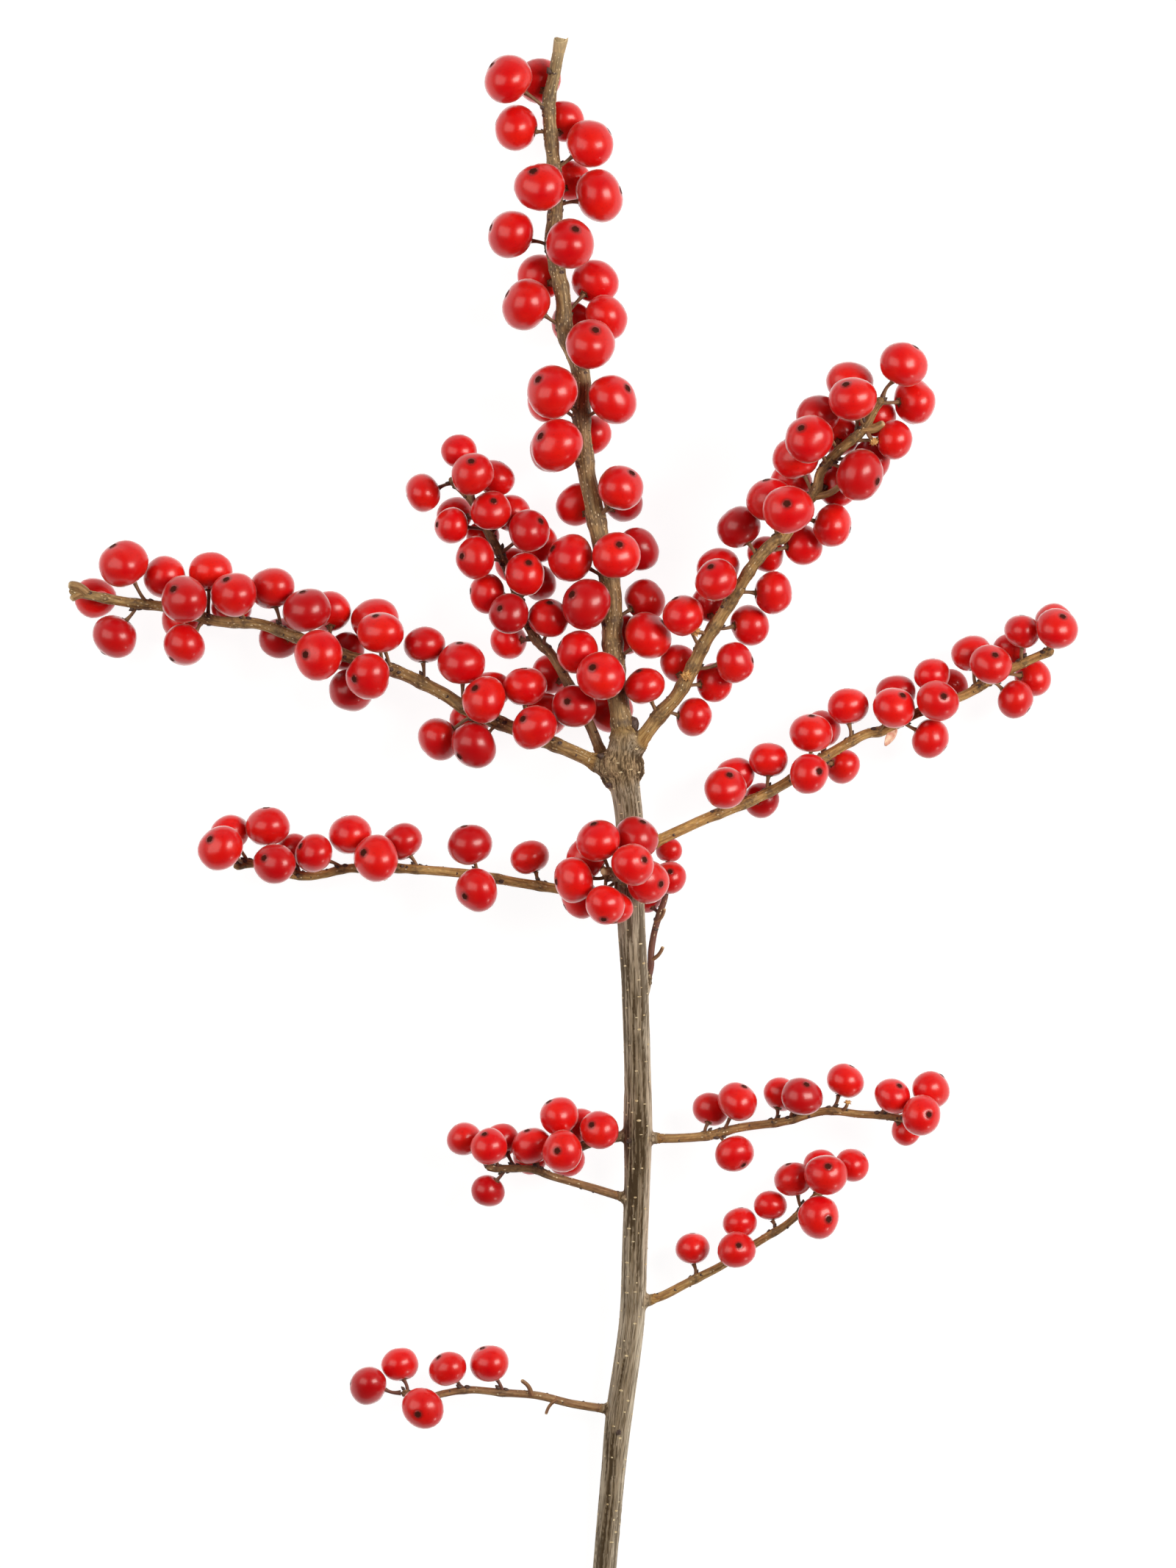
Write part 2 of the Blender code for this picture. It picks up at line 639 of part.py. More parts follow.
def main():
    clear_scene()
    draw = random.Random(SEED)
    paths = {name: Path(spray["path"]) for name, spray in SPRAYS.items()}
    berries = []
    for name, spray in SPRAYS.items():
        berries += grow_berries(paths[name], name, spray, draw)
    settle(berries, wood_runs(paths))
    for name, spray in SPRAYS.items():
        if spray["rests"]:
            rest_lowest(berries, name)

    stem = stem_object(paths)
    stem.data.materials.append(material("main_stem_bark", BARK_COLOURS["main_stem"], 0.8))
    for name, spray in SPRAYS.items():
        twig = twig_object(name, paths[name], spray)
        bark = BARK_COLOURS.get(name, TWIG_COLOUR)
        twig.data.materials.append(material(f"{name}_bark", bark, 0.7))
        skin = material(f"{name}_skin", BERRY_COLOUR, 0.25)
        fruit = []
        for index, berry in enumerate(item for item in berries if item.spray == name):
            fruit.append(berry_object(berry, index))
            fruit[-1].data.materials.append(skin)
        fuse(twig, fruit)


if __name__ == "__main__":
    main()
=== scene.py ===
"""A cut sprig of winterberry holly, dressed for a close view.

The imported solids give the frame.  This file grows the same sprig again from the same
twigs, hours and seed, and dresses it: fissured bark on the stem, smooth young bark with
pores on the twigs, stalks, buds and scars, and berries with their skins.
It is laid out as a Blender add-on and runs as a script.
"""

import functools
import json
import math
import random

import bmesh
import bpy
import numpy as np
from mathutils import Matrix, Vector

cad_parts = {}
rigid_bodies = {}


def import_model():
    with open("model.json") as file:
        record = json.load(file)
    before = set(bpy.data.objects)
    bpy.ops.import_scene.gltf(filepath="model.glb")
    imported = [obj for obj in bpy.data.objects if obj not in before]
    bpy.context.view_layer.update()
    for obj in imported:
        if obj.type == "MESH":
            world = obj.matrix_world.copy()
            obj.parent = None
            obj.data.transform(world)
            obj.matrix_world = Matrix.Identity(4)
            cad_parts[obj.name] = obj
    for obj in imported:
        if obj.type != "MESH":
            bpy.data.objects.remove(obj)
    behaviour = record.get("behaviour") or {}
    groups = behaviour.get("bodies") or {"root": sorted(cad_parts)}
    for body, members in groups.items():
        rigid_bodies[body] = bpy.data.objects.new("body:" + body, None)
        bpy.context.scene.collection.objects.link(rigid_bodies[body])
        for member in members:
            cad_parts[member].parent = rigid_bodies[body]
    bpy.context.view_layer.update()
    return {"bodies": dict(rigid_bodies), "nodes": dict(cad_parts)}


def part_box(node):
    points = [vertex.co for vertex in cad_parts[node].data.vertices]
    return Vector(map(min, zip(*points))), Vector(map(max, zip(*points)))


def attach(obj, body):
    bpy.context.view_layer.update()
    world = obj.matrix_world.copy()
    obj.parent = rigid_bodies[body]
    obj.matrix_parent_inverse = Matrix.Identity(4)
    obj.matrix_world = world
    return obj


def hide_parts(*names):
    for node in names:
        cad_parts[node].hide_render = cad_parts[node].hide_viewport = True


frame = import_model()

bl_info = {
    "name": "Winterberry Holly Sprig",
    "version": (1, 0, 0),
    "blender": (4, 5, 0),
    "location": "View3D > Sidebar > Holly",
    "description": "Grows a cut sprig of winterberry holly with bark, stalks and berries",
    "category": "Add Mesh",
}

MM = 0.001
SEED = 23

# The middle of the sprig's box, in the coordinates of the tables.
BOX_MIDDLE = Vector((-3.0, -11.5, 0.0))

# Wood
PATH_STEPS = 12
HEADING_SPAN = 1.2
DEGREES_AN_HOUR = 30
UPRIGHT = 0.8
CUT_SLANT = 0.8
COLLAR_LENGTH = 1.3
COLLAR_DEPTH = 3.0
COLLAR_FLARE = 1.5

# Berries
STALK_RADIUS = 0.42
STALK_LENGTH = 1.5
BERRY_LEAN = 60.0
OBLATE = 0.94
SIZE_SPREAD = 0.07
SUNNY_SWELLING = 0.09
LEAN_SPREAD = 9.0
HOUR_SPREAD = 0.2
STALK_SPREAD = 0.4

# Room between berries, and what they rest on
ROOM_IN_SPRAY = 0.2
ROOM_BETWEEN_SPRAYS = 0.5
STEM_ROOM = 0.2
KNUCKLE_ROOM = 0.3
TWIG_ROOM = 0.1
RUN_LENGTH = 5
STALK_REACH = 6.5
CLEAR_OF_SURFACE = 0.7
RESTING_DEPTH = 0.13
SETTLING_ROUNDS = 500
SETTLING_STEP = 0.6
HOMING = 0.02

# The stem's middle line and radius, from the cut end to the foot of the leader.
STEM = [
    ((2.3, -166.4, 2.2), 2.35),
    ((3.2, -154.0, 2.2), 2.35),
    ((5.0, -133.4, 4.3), 2.4),
    ((6.1, -122.6, 5.3), 2.65),
    ((8.5, -105.0, 6.9), 2.5),
    ((9.1, -90.5, 8.3), 2.5),
    ((9.6, -76.2, 9.6), 2.55),
    ((9.7, -66.5, 10.5), 2.85),
    ((9.6, -54.8, 11.6), 2.6),
    ((9.1, -39.1, 13.0), 2.65),
    ((8.3, -24.8, 14.3), 2.75),
    ((8.1, -9.1, 15.8), 2.7),
    ((7.5, -2.6, 16.4), 2.8),
    ((6.4, 3.8, 17.0), 3.3),
    ((6.8, 9.5, 17.0), 2.4),
]
KNUCKLE = ((6.0, 3.4, 16.3), (4.4, 3.8, 4.1))
KNUCKLE_MIDDLE, KNUCKLE_HALF = (Vector(values) for values in KNUCKLE)

# Each twig has a path of points from its root outwards, a radius at root and tip, and the
# mean radius of its berries.  Its axils give where berries grow: the distance along the
# twig, and for each berry there the hour of a clock that is read along the twig from root
# to tip, with 12 on the upper side, 3 on the twig's right and 6 towards the surface.
# A twig that stands upright turns its clock's 12 to +Y.  A tip berry grows straight on
# from the twig's end, and "rests" means that the twig's lowest berry lies on the surface.
SPRAYS = {
    "spray_leader": {
        "path": [
            (6.9, 9.5, 17.0), (5.4, 19.9, 16.6), (4.7, 28.6, 16.1), (4.6, 37.4, 15.5),
            (2.6, 46.5, 14.9), (0.8, 55.5, 14.2), (-0.4, 61.2, 13.7), (-1.2, 70.8, 13.0),
            (-1.1, 78.8, 12.3), (-4.4, 87.5, 11.7), (-4.9, 94.8, 11.2), (-7.0, 105.1, 10.6),
            (-6.4, 111.2, 10.4), (-6.6, 119.4, 10.3), (-7.6, 131.6, 10.6), (-6.6, 137.8, 10.9),
            (-5.2, 145.0, 11.4),
        ],
        "wood": (2.05, 1.15),
        "berry": (4.45, 4.9),
        "axils": {
            2: [6.5], 8: [11], 12.5: [9.5], 14: [2.5], 17.5: [5], 22: [10.5, 8, 4],
            30.5: [10, 0.5], 32: [3.5], 41.5: [7], 42.5: [2, 4], 53.5: [10.5, 7.5],
            55: [5.5], 61.5: [8, 1.5], 63: [10.5], 71.5: [1.5], 78: [3], 78.5: [5], 81: [9.5],
            82.5: [4], 88.5: [7], 92: [1], 96.5: [9.5], 102.5: [11], 104.5: [3], 106: [5],
            112: [3], 116.5: [5], 118.5: [9], 123: [9.5], 125.5: [6.5],
        },
        "rests": True,
    },
    "spray_left_long": {
        "path": [
            (1.7, 4.1, 16.5), (-4.3, 6.8, 16.0), (-10.9, 9.4, 15.2), (-22.7, 14.2, 13.8),
            (-28.6, 17.8, 13.2), (-37.1, 21.8, 12.4), (-46.7, 24.8, 11.6), (-56.6, 28.5, 11.0),
            (-64.0, 31.1, 10.7), (-72.3, 31.7, 10.5), (-81.1, 34.2, 10.4), (-88.6, 35.2, 10.5),
            (-94.4, 36.2, 10.7), (-100.9, 37.6, 11.0),
        ],
        "wood": (1.4, 0.9),
        "berry": (4.3, 4.55),
        "axils": {
            8.5: [0.5], 11.5: [3.5], 15: [3], 20: [1, 10], 21.5: [3.5], 24: [7], 25: [8.5],
            28: [2.5], 37.5: [3], 43: [11.5], 44.5: [2.5], 46: [3.5], 47: [8], 50: [5],
            54: [11.5], 56.5: [4], 60: [3], 63.5: [6.5], 67: [3], 74: [1.5], 76: [4],
            81.5: [9.5, 3.5], 82: [1], 84: [6.5], 87: [3], 93.5: [2.5], 95.5: [9], 101.5: [6],
        },
        "rests": True,
    },
    "spray_left_steep": {
        "path": [
            (2.6, 5.8, 13.3), (0.0, 12.1, 12.9), (-6.6, 24.4, 12.3), (-10.7, 29.1, 12.0),
            (-15.7, 41.6, 11.7), (-20.0, 50.2, 11.7), (-22.1, 54.5, 11.9), (-26.9, 59.5, 12.3),
        ],
        "wood": (1.05, 0.75),
        "berry": (4.1, 3.65),
        "axils": {
            8: [11.5], 14: [7], 23.5: [1.5], 26: [8], 29: [12], 34.5: [3.5], 35: [1, 9.5],
            39: [3.5, 5], 42.5: [10.5], 44: [2], 46: [6.5], 48: [3.5], 49.5: [1.5, 9.5],
            51: [8], 53: [3], 54.5: [1], 60.5: [9, 3],
        },
    },
    "spray_right_steep": {
        "path": [
            (9.7, 7.8, 17.4), (14.3, 13.8, 18.6), (17.3, 17.2, 19.4), (20.3, 22.6, 20.6),
            (22.7, 27.6, 21.8), (27.1, 34.5, 23.5), (32.0, 42.4, 25.6), (36.0, 46.8, 26.9),
            (38.0, 47.8, 27.4), (40.7, 52.4, 28.7), (43.9, 56.4, 29.9), (44.9, 60.1, 30.8),
            (48.3, 64.1, 31.9), (52.8, 68.0, 33.0), (55.2, 72.2, 33.9), (56.6, 74.3, 34.4),
        ],
        "wood": (1.45, 0.8),
        "collar": 2.7,
        "berry": (3.85, 4.55),
        "axils": {
            6.5: [9.5], 7.5: [4], 14: [7, 4], 18.5: [3.5], 22.5: [9], 27: [7], 27.5: [4],
            32.5: [10], 33.5: [8], 35.5: [4], 40: [5], 43.5: [8.5], 46: [4.5], 49: [9.5],
            53.5: [11], 54: [8], 55: [3.5], 60.5: [8.5], 61.5: [4], 67: [10], 67.5: [2],
            68.5: [4.5], 70.5: [6.5, 8.5], 74: [4.5, 7], 75: [8.5], 77.5: [9.5], 83: [4.5],
        },
        "tip_berry": True,
    },
    "spray_right_long": {
        "path": [
            (12.6, -11.4, 15.6), (17.0, -9.4, 15.1), (22.7, -6.8, 14.4), (29.4, -4.2, 13.5),
            (37.4, -0.4, 12.5), (45.3, 4.8, 11.5), (53.3, 9.4, 10.7), (57.7, 10.5, 10.4),
            (64.0, 13.8, 10.1), (73.0, 17.2, 9.9), (78.1, 20.1, 10.0), (84.3, 23.4, 10.2),
            (90.6, 26.1, 10.6),
        ],
        "wood": (1.05, 0.85),
        "berry": (3.9, 3.75),
        "axils": {
            13.5: [10.5], 19: [8], 20.5: [6], 24.5: [9], 30: [0.5], 34.5: [9.5], 36.5: [4.5],
            37.5: [8], 43.5: [9], 49: [10.5], 53.5: [8], 54.5: [3], 59.5: [11.5], 61: [9],
            63.5: [7], 70.5: [9], 71.5: [11], 73.5: [3], 76.5: [5], 77: [7], 80.5: [9],
            85.5: [10.5], 86: [8.5],
        },
        "rests": True,
    },
    "spray_left_middle": {
        "path": [
            (5.4, -22.2, 14.5), (-7.4, -20.1, 14.0), (-13.9, -19.1, 13.6), (-23.0, -17.5, 13.1),
            (-36.6, -16.4, 12.4), (-46.3, -16.4, 12.0), (-51.4, -17.5, 11.9),
            (-56.0, -17.8, 11.8), (-64.7, -15.5, 11.9), (-68.9, -16.1, 12.0),
        ],
        "wood": (0.98, 0.8),
        "berry": (3.9, 4.1),
        "axils": {
            14.5: [3], 23: [11], 27: [2.5], 39: [3], 42.5: [1], 50: [2.5], 53.5: [2],
            62: [3.5], 63: [0.5], 68: [3], 72.5: [3], 73.5: [1.5],
        },
    },
    "spray_front_cluster": {
        "path": [(7.0, -18.4, 17.4), (5.4, -18.0, 21.0), (3.4, -17.6, 26.5)],
        "wood": (1.1, 0.9),
        "berry": (4.1, 4.2),
        "axils": {2: [11, 9.2, 4.3], 3.5: [2.3, 6], 8: [11.7, 3.3], 9: [6.3, 9.6]},
    },
    "spray_back_spur": {
        "path": [
            (11.6, -38.0, 11.9), (12.2, -35.4, 10.2), (12.3, -32.4, 9.7), (12.9, -28.9, 9.5),
            (13.9, -25.3, 9.4), (15.0, -22.0, 9.4), (15.4, -17.6, 9.3),
        ],
        "wood": (0.7, 0.55),
        "berry": (2.9, 2.9),
        "axils": {13: [7.5], 18.5: [12]},
        "tip_berry": True,
    },
    "spray_low_left_upper": {
        "path": [(6.9, -68.4, 10.3), (-0.1, -70.1, 11.4), (-3.0, -71.4, 12.1), (-6.0, -72.8, 12.9)],
        "wood": (0.85, 0.7),
        "berry": (3.75, 3.65),
        "axils": {2: [1], 5: [4], 8.5: [3], 11: [0.5, 6.5]},
    },
    "spray_low_left_lower": {
        "path": [
            (7.0, -80.5, 9.2), (0.6, -78.5, 9.6), (-6.7, -76.4, 10.0), (-11.1, -74.9, 10.2),
            (-17.7, -74.8, 10.4), (-19.9, -74.4, 10.5),
        ],
        "wood": (0.85, 0.65),
        "berry": (3.45, 3.65),
        "axils": {16: [5], 17.5: [2.5], 22: [4], 24: [8.5], 25.5: [2], 27.5: [3.5]},
    },
    "spray_low_right_upper": {
        "path": [
            (12.9, -68.9, 10.3), (17.0, -68.9, 10.5), (23.3, -68.4, 10.9), (29.6, -66.8, 11.4),
            (37.9, -65.6, 12.1), (44.1, -63.9, 12.6), (47.6, -63.5, 12.9), (52.6, -64.1, 13.3),
            (57.6, -64.4, 13.8), (62.6, -65.2, 14.4),
        ],
        "wood": (0.9, 0.7),
        "berry": (3.75, 3.65),
        "axils": {
            10: [8.5], 12.5: [2], 13.5: [9.5], 23.5: [8.5], 27: [10.5], 35: [9], 44.5: [10.5],
            46.5: [5], 49.5: [11.5], 50: [9.5],
        },
    },
    "spray_low_right_lower": {
        "path": [
            (11.7, -100.6, 7.3), (14.9, -99.5, 7.7), (19.4, -97.1, 8.4), (25.3, -94.1, 9.4),
            (28.7, -91.9, 10.0), (34.6, -88.1, 11.0), (37.9, -86.1, 11.5), (40.9, -83.6, 12.0),
            (44.1, -80.2, 12.5), (46.3, -78.2, 12.8),
        ],
        "wood": (0.9, 0.65),
        "berry": (3.45, 3.65),
        "axils": {
            10: [9], 18.5: [11.5], 20.5: [9], 28: [9], 34.5: [1], 35.5: [9], 40: [8],
            41: [11.5],
        },
        "tip_berry": True,
    },
    "spray_bottom_left": {
        "path": [
            (3.9, -121.9, 5.4), (-3.0, -120.8, 6.2), (-9.9, -119.1, 7.2), (-16.7, -118.5, 8.2),
            (-23.0, -117.9, 9.0), (-28.1, -118.6, 9.5), (-31.3, -119.4, 9.8), (-36.4, -118.4, 10.2),
        ],
        "wood": (0.85, 0.65),
        "berry": (3.7, 3.8),
        "axils": {21: [2.5], 28.5: [2], 35: [11.5], 40: [3.5]},
        "tip_berry": True,
    },
}


# What the scene adds to the layout: finer sizes, tones and single details.
LAYOUT_SLACK = 0.0006
COLLAR_RUN_OUT = 2.0
COLLAR_AREA = 9.0
COLLAR_RINGS = 14
SOFTENING_ROUNDS = 9
SAMPLE_STEP = 0.7
TWIG_ROOT = 2.2
TWIG_STEP = 0.5
STALK_POINTS = 9
STEM_SIDES = 40
TWIG_SIDES = 20
STUB_SIDES = 14
STALK_SIDES = 8
STUB_WRINKLES = 0.00004
STALK_WRINKLES = 0.00002
AXIL_LENGTH = 1.1
AXIL_SWELLING = 0.15
TWIG_WRINKLE = 0.5
FURROW_WIDTH = 0.5
FURROW_LENGTH = 16.0
BAND_WIDTH = 2.6
BAND_LENGTH = 38.0
KNOT_WRINKLE = 1.1
KNOB_SPACING = 3.2
YEAR_RINGS = 4
FRUIT_SEGMENTS = 24
FRUIT_SHAPES = 6
DENT_SIZE = 6.0
CREASED_SHARE = 0.05
CALYX_LOBES = 5
STAR_POINTS = 11
SCAR_REACH = 0.17
SCAR_EDGE = 0.985
HALO_EDGE = 0.94
FLOOR_HALF = 6.0
NEAREST_SEEN = 0.01

# How many vertices are compared with a path at a time.
CHUNK = 8000

# The shapes that buds_and_scars are made of, in the order of their meshes, and which of
# the two materials of a cluster a face takes.
BUD, LEAF_SCAR, STAR = range(3)
MAIN, SECOND = range(2)

# How dark a usual berry can be, and an older one, from 0 to 1.
TINTS = ((0.0, 0.3), (0.45, 0.8))

# What noise gives mostly lies between the first two numbers; it is spread over the others.
NOISE_SWING = (0.3, 0.7, -1.0, 1.0)

# A pore's half length along the grain, half width and height, in millimetres, and the
# least and the greatest share of that which a pore can have.
STEM_PORE = (0.2, 0.45, 0.07)
TWIG_PORE = (0.25, 0.145, 0.05)
PORE_SCALES = ((0.45, 0.5, 0.6), (1.3, 1.1, 1.2))

# The least distance between two pores, in metres, and how many a square metre could hold:
# on the stem, on a usual twig, and on the twigs that are thick with them.
STEM_PORE_SPACING = 0.0016
WIDE_SPACING = 0.001
STEM_PORE_DENSITY = 130000.0
PORE_DENSITIES = (150000.0, 700000.0)
PORED_TWIGS = ("spray_leader", "spray_left_long")

# What every tree that makes bark takes in.
BARK_INPUTS = {
    "Wrinkle Depth": "Float", "Bark": "Material", "Pore Spacing": "Float",
    "Pore Density": "Float", "Pore Shape": "Object", "Pore Material": "Material",
    "Seed": "Int",
}

# The swellings of the stem: the knuckle at the fork and smaller knobs on it.
KNOBS = [
    KNUCKLE,
    ((4.4, 1.7, 16.3), (1.9, 2.7, 2.2)),
    ((8.9, 3.2, 16.5), (2.1, 3.2, 2.4)),
]

# How golden and how reddish the bark of each twig is, from 0 to 1.
TONES = {
    "spray_leader": (0.12, 0.0),
    "spray_left_long": (0.45, 0.05),
    "spray_left_steep": (0.25, 0.35),
    "spray_right_steep": (0.5, 0.05),
    "spray_right_long": (1.0, 0.0),
    "spray_left_middle": (0.85, 0.05),
    "spray_front_cluster": (0.4, 0.1),
    "spray_back_spur": (0.2, 0.85),
    "spray_low_left_upper": (0.55, 0.35),
    "spray_low_left_lower": (0.55, 0.4),
    "spray_low_right_upper": (0.75, 0.25),
    "spray_low_right_lower": (0.9, 0.15),
    "spray_bottom_left": (0.45, 0.4),
}

# Single buds: the place of the foot, the direction, and the length.
SINGLE_BUDS = [
    ((3.3, 5.1, 17.5), (-0.8, 0.3, 0.5), 2.0),
    ((8.6, 12.8, 17.0), (0.25, -0.9, 0.25), 3.0),
    ((4.3, -0.3, 18.2), (-0.5, 0.2, 0.8), 1.6),
    ((-7.4, 138.0, 11.9), (-0.3, 0.9, 0.3), 1.5),
    ((8.1, -69.5, 12.5), (-0.2, 0.4, 0.9), 1.4),
    ((5.9, -126.6, 7.5), (0.2, 0.7, 0.6), 1.3),
]

# Where a berry has dropped and left its calyx: the foot, the direction, and the width.
EMPTY_CALYXES = [
    ((20.9, 29.4, 23.4), (-0.45, 0.1, 0.9), 1.35),
    ((19.3, 20.9, 21.6), (-0.55, -0.1, 0.85), 1.45),
    ((37.7, 48.6, 29.0), (-0.5, 0.3, 0.8), 1.1),
    ((49.6, 58.6, 32.4), (0.75, 0.45, 0.5), 1.2),
    ((54.9, 65.9, 34.4), (0.3, -0.6, 0.75), 1.25),
    ((-57.4, -17.9, 13.4), (0.1, -0.8, 0.5), 0.9),
    ((-39.7, -18.2, 13.6), (-0.2, -0.8, 0.5), 0.9),
    ((50.4, -61.9, 14.6), (0.1, 0.7, 0.6), 0.9),
]

# Short bare stubs: where they leave the twig, where they end, and how thick they are.
BARE_STUBS = [
    ((-97.6, 37.0, 10.9), (-101.0, 38.7, 11.6), 0.85),
    ((-97.9, 36.9, 10.9), (-100.5, 35.8, 11.3), 0.7),
    ((52.9, 68.4, 33.0), (57.0, 69.4, 33.8), 0.85),
    ((43.5, 55.4, 29.8), (49.3, 58.3, 32.2), 0.6),
    ((12.1, -34.3, 10.1), (14.6, -31.6, 10.4), 0.35),
    ((13.0, -27.0, 9.6), (14.9, -24.2, 9.9), 0.35),
    ((4.6, -17.8, 23.6), (2.9, -17.0, 28.4), 0.8),
    ((-11.0, -119.0, 8.0), (-13.0, -116.0, 9.4), 0.4),
    ((-6.0, -119.9, 7.4), (-8.2, -122.8, 7.2), 0.3),
]

# The stalks that the empty calyxes stand on: where each leaves the wood, and its calyx.
CALYX_STALKS = [
    ((23.2, 28.3, 22.0), (20.9, 29.4, 23.4), 0.4),
    ((19.5, 21.1, 20.3), (19.3, 20.9, 21.6), 0.45),
    ((38.4, 48.6, 27.6), (37.7, 48.6, 29.0), 0.4),
    ((53.8, 68.6, 33.2), (54.9, 65.9, 34.4), 0.4),
    ((-57.3, -17.5, 11.8), (-57.4, -17.9, 13.4), 0.35),
    ((-39.6, -16.6, 12.3), (-39.7, -18.2, 13.6), 0.35),
    ((48.9, -63.6, 13.0), (50.4, -61.9, 14.6), 0.35),
]

# The withered bract under one axil of the long right twig: its foot, tip and width.
BRACT_FOOT = (59.9, 11.2, 10.9)
BRACT_TIP = (57.8, 7.4, 10.4)
BRACT_WIDTH = 1.5
BRACT_THICKNESS = 0.00015
BRACT_ROWS, BRACT_COLUMNS = 12, 7

# The torn end of the leader: how far each splinter of its rim stands out.
TORN_RIM = (0.2, 0.5, 1.2, 1.4, 0.6, 0.2, 0.3, 0.5, 0.7, 0.9, 0.5, 0.1)

# How far the last stretch of the torn leader has dried to the colour of bare wood.
DRIED_TIP = 0.35

# Where along the stem its bark is palest, and how far that reaches.
PALE_STRETCH = (-27.0, 9.0)

# The studio lamps: the direction each hangs in, its distance, and its width and height,
# in metres; and their slightly warm white.
LAMPS = {
    "key": ((0.65, 0.19, 0.73), 0.9, (0.34, 0.52)),
    "fill": ((-0.65, 0.19, 0.73), 0.9, (0.62, 0.9)),
    "glint": ((0.67, -0.73, 0.14), 0.8, (0.09, 0.09)),
}
WARM_LIGHT = (1.0, 0.95, 0.88)

# The point that the camera hangs over, at half the height of the twigs.
SPRIG_MIDDLE = (0.0, 0.0, 12.0)


class Path:
    """A smooth curve through a few points, read by the distance from its root."""

    def __init__(self, knots):
        knots = [Vector(knot) for knot in knots]
        first = 2 * knots[0] - knots[1]
        last = 2 * knots[-1] - knots[-2]
        padded = [first, *knots, last]
        self.points = []
        for before, start, end, after in zip(padded, padded[1:], padded[2:], padded[3:]):
            for step in range(PATH_STEPS):
                self.points.append(between(before, start, end, after, step / PATH_STEPS))
        self.points.append(knots[-1])
        self.along = [0.0]
        for start, end in zip(self.points, self.points[1:]):
            self.along.append(self.along[-1] + (end - start).length)
        self.length = self.along[-1]

    def at(self, distance):
        """The point that lies this far along."""
        index = int(np.searchsorted(self.along, distance)) - 1
        index = min(max(index, 0), len(self.points) - 2)
        start, end = self.points[index], self.points[index + 1]
        span = self.along[index + 1] - self.along[index]
        return start.lerp(end, (distance - self.along[index]) / span)

    def heading(self, distance):
        """The direction towards the tip, this far along."""
        near = min(max(distance - HEADING_SPAN / 2, 0.0), self.length - HEADING_SPAN)
        return (self.at(near + HEADING_SPAN) - self.at(near)).normalized()


def between(before, start, end, after, share):
    """A point of the Catmull-Rom curve, at this share of the way from start to end."""
    slope_in = (end - before) / 2
    slope_out = (after - start) / 2
    square = share * share
    cube = square * share
    return (
        start * (2 * cube - 3 * square + 1)
        + slope_in * (cube - 2 * square + share)
        + end * (3 * square - 2 * cube)
        + slope_out * (cube - square)
    )


def clock_axes(heading):
    """The directions of 12 and 3 o'clock on a twig that runs along heading."""
    upright = abs(heading.z) > UPRIGHT
    face = Vector((0, 1, 0)) if upright else Vector((0, 0, 1))
    twelve = (face - heading * face.dot(heading)).normalized()
    return twelve, heading.cross(twelve)


def clock_hand(heading, angle):
    """The direction at this angle from 12 o'clock."""
    twelve, three = clock_axes(heading)
    return twelve * math.cos(angle) + three * math.sin(angle)


def taper(ends, distance, length):
    """What lies this far along between a value at the root and a value at the tip."""
    return ends[0] + (ends[1] - ends[0]) * distance / length


class Berry:
    """One berry: where its stalk leaves the twig, its middle and its radius."""

    def __init__(self, spray, axil, middle, radius):
        self.spray = spray
        self.axil = axil
        self.middle = middle
        self.radius = radius


def grow_berries(path, name, spray, draw):
    """The berries of one twig, where their axils and hours put them."""
    places = [(distance, hour) for distance, hours in spray["axils"].items() for hour in hours]
    if spray.get("tip_berry"):
        places.append((path.length, None))
    berries = []
    for distance, hour in places:
        axil = path.at(distance)
        towards = path.heading(distance)
        lean = math.radians(BERRY_LEAN + draw.uniform(-LEAN_SPREAD, LEAN_SPREAD))
        turn = draw.uniform(-HOUR_SPREAD, HOUR_SPREAD)
        radius = taper(spray["berry"], distance, path.length)
        radius *= 1 + draw.uniform(-SIZE_SPREAD, SIZE_SPREAD)
        stalk = STALK_LENGTH + draw.uniform(-STALK_SPREAD, STALK_SPREAD)
        if hour is not None:
            angle = math.radians(DEGREES_AN_HOUR * (hour + turn))
            outward = clock_hand(towards, angle)
            towards = towards * math.cos(lean) + outward * math.sin(lean)
            radius *= 1 + SUNNY_SWELLING * math.cos(angle)
        middle = axil + towards * (spray["wood"][0] + stalk + radius)
        berries.append(Berry(name, axil, middle, radius))
    return berries


def nearest_on_runs(points, starts, ends):
    """For each point and each straight run, the step from the run to the point, and its
    length."""
    runs = ends - starts
    lengths = np.maximum((runs * runs).sum(axis=1), 1e-9)
    offsets = points[:, None, :] - starts[None, :, :]
    shares = np.clip((offsets * runs[None]).sum(axis=2) / lengths, 0, 1)
    steps = offsets - shares[:, :, None] * runs[None]
    return steps, gap_lengths(steps)


def gap_lengths(steps):
    """The lengths of these steps, never quite zero."""
    return np.maximum(np.linalg.norm(steps, axis=2), 1e-6)


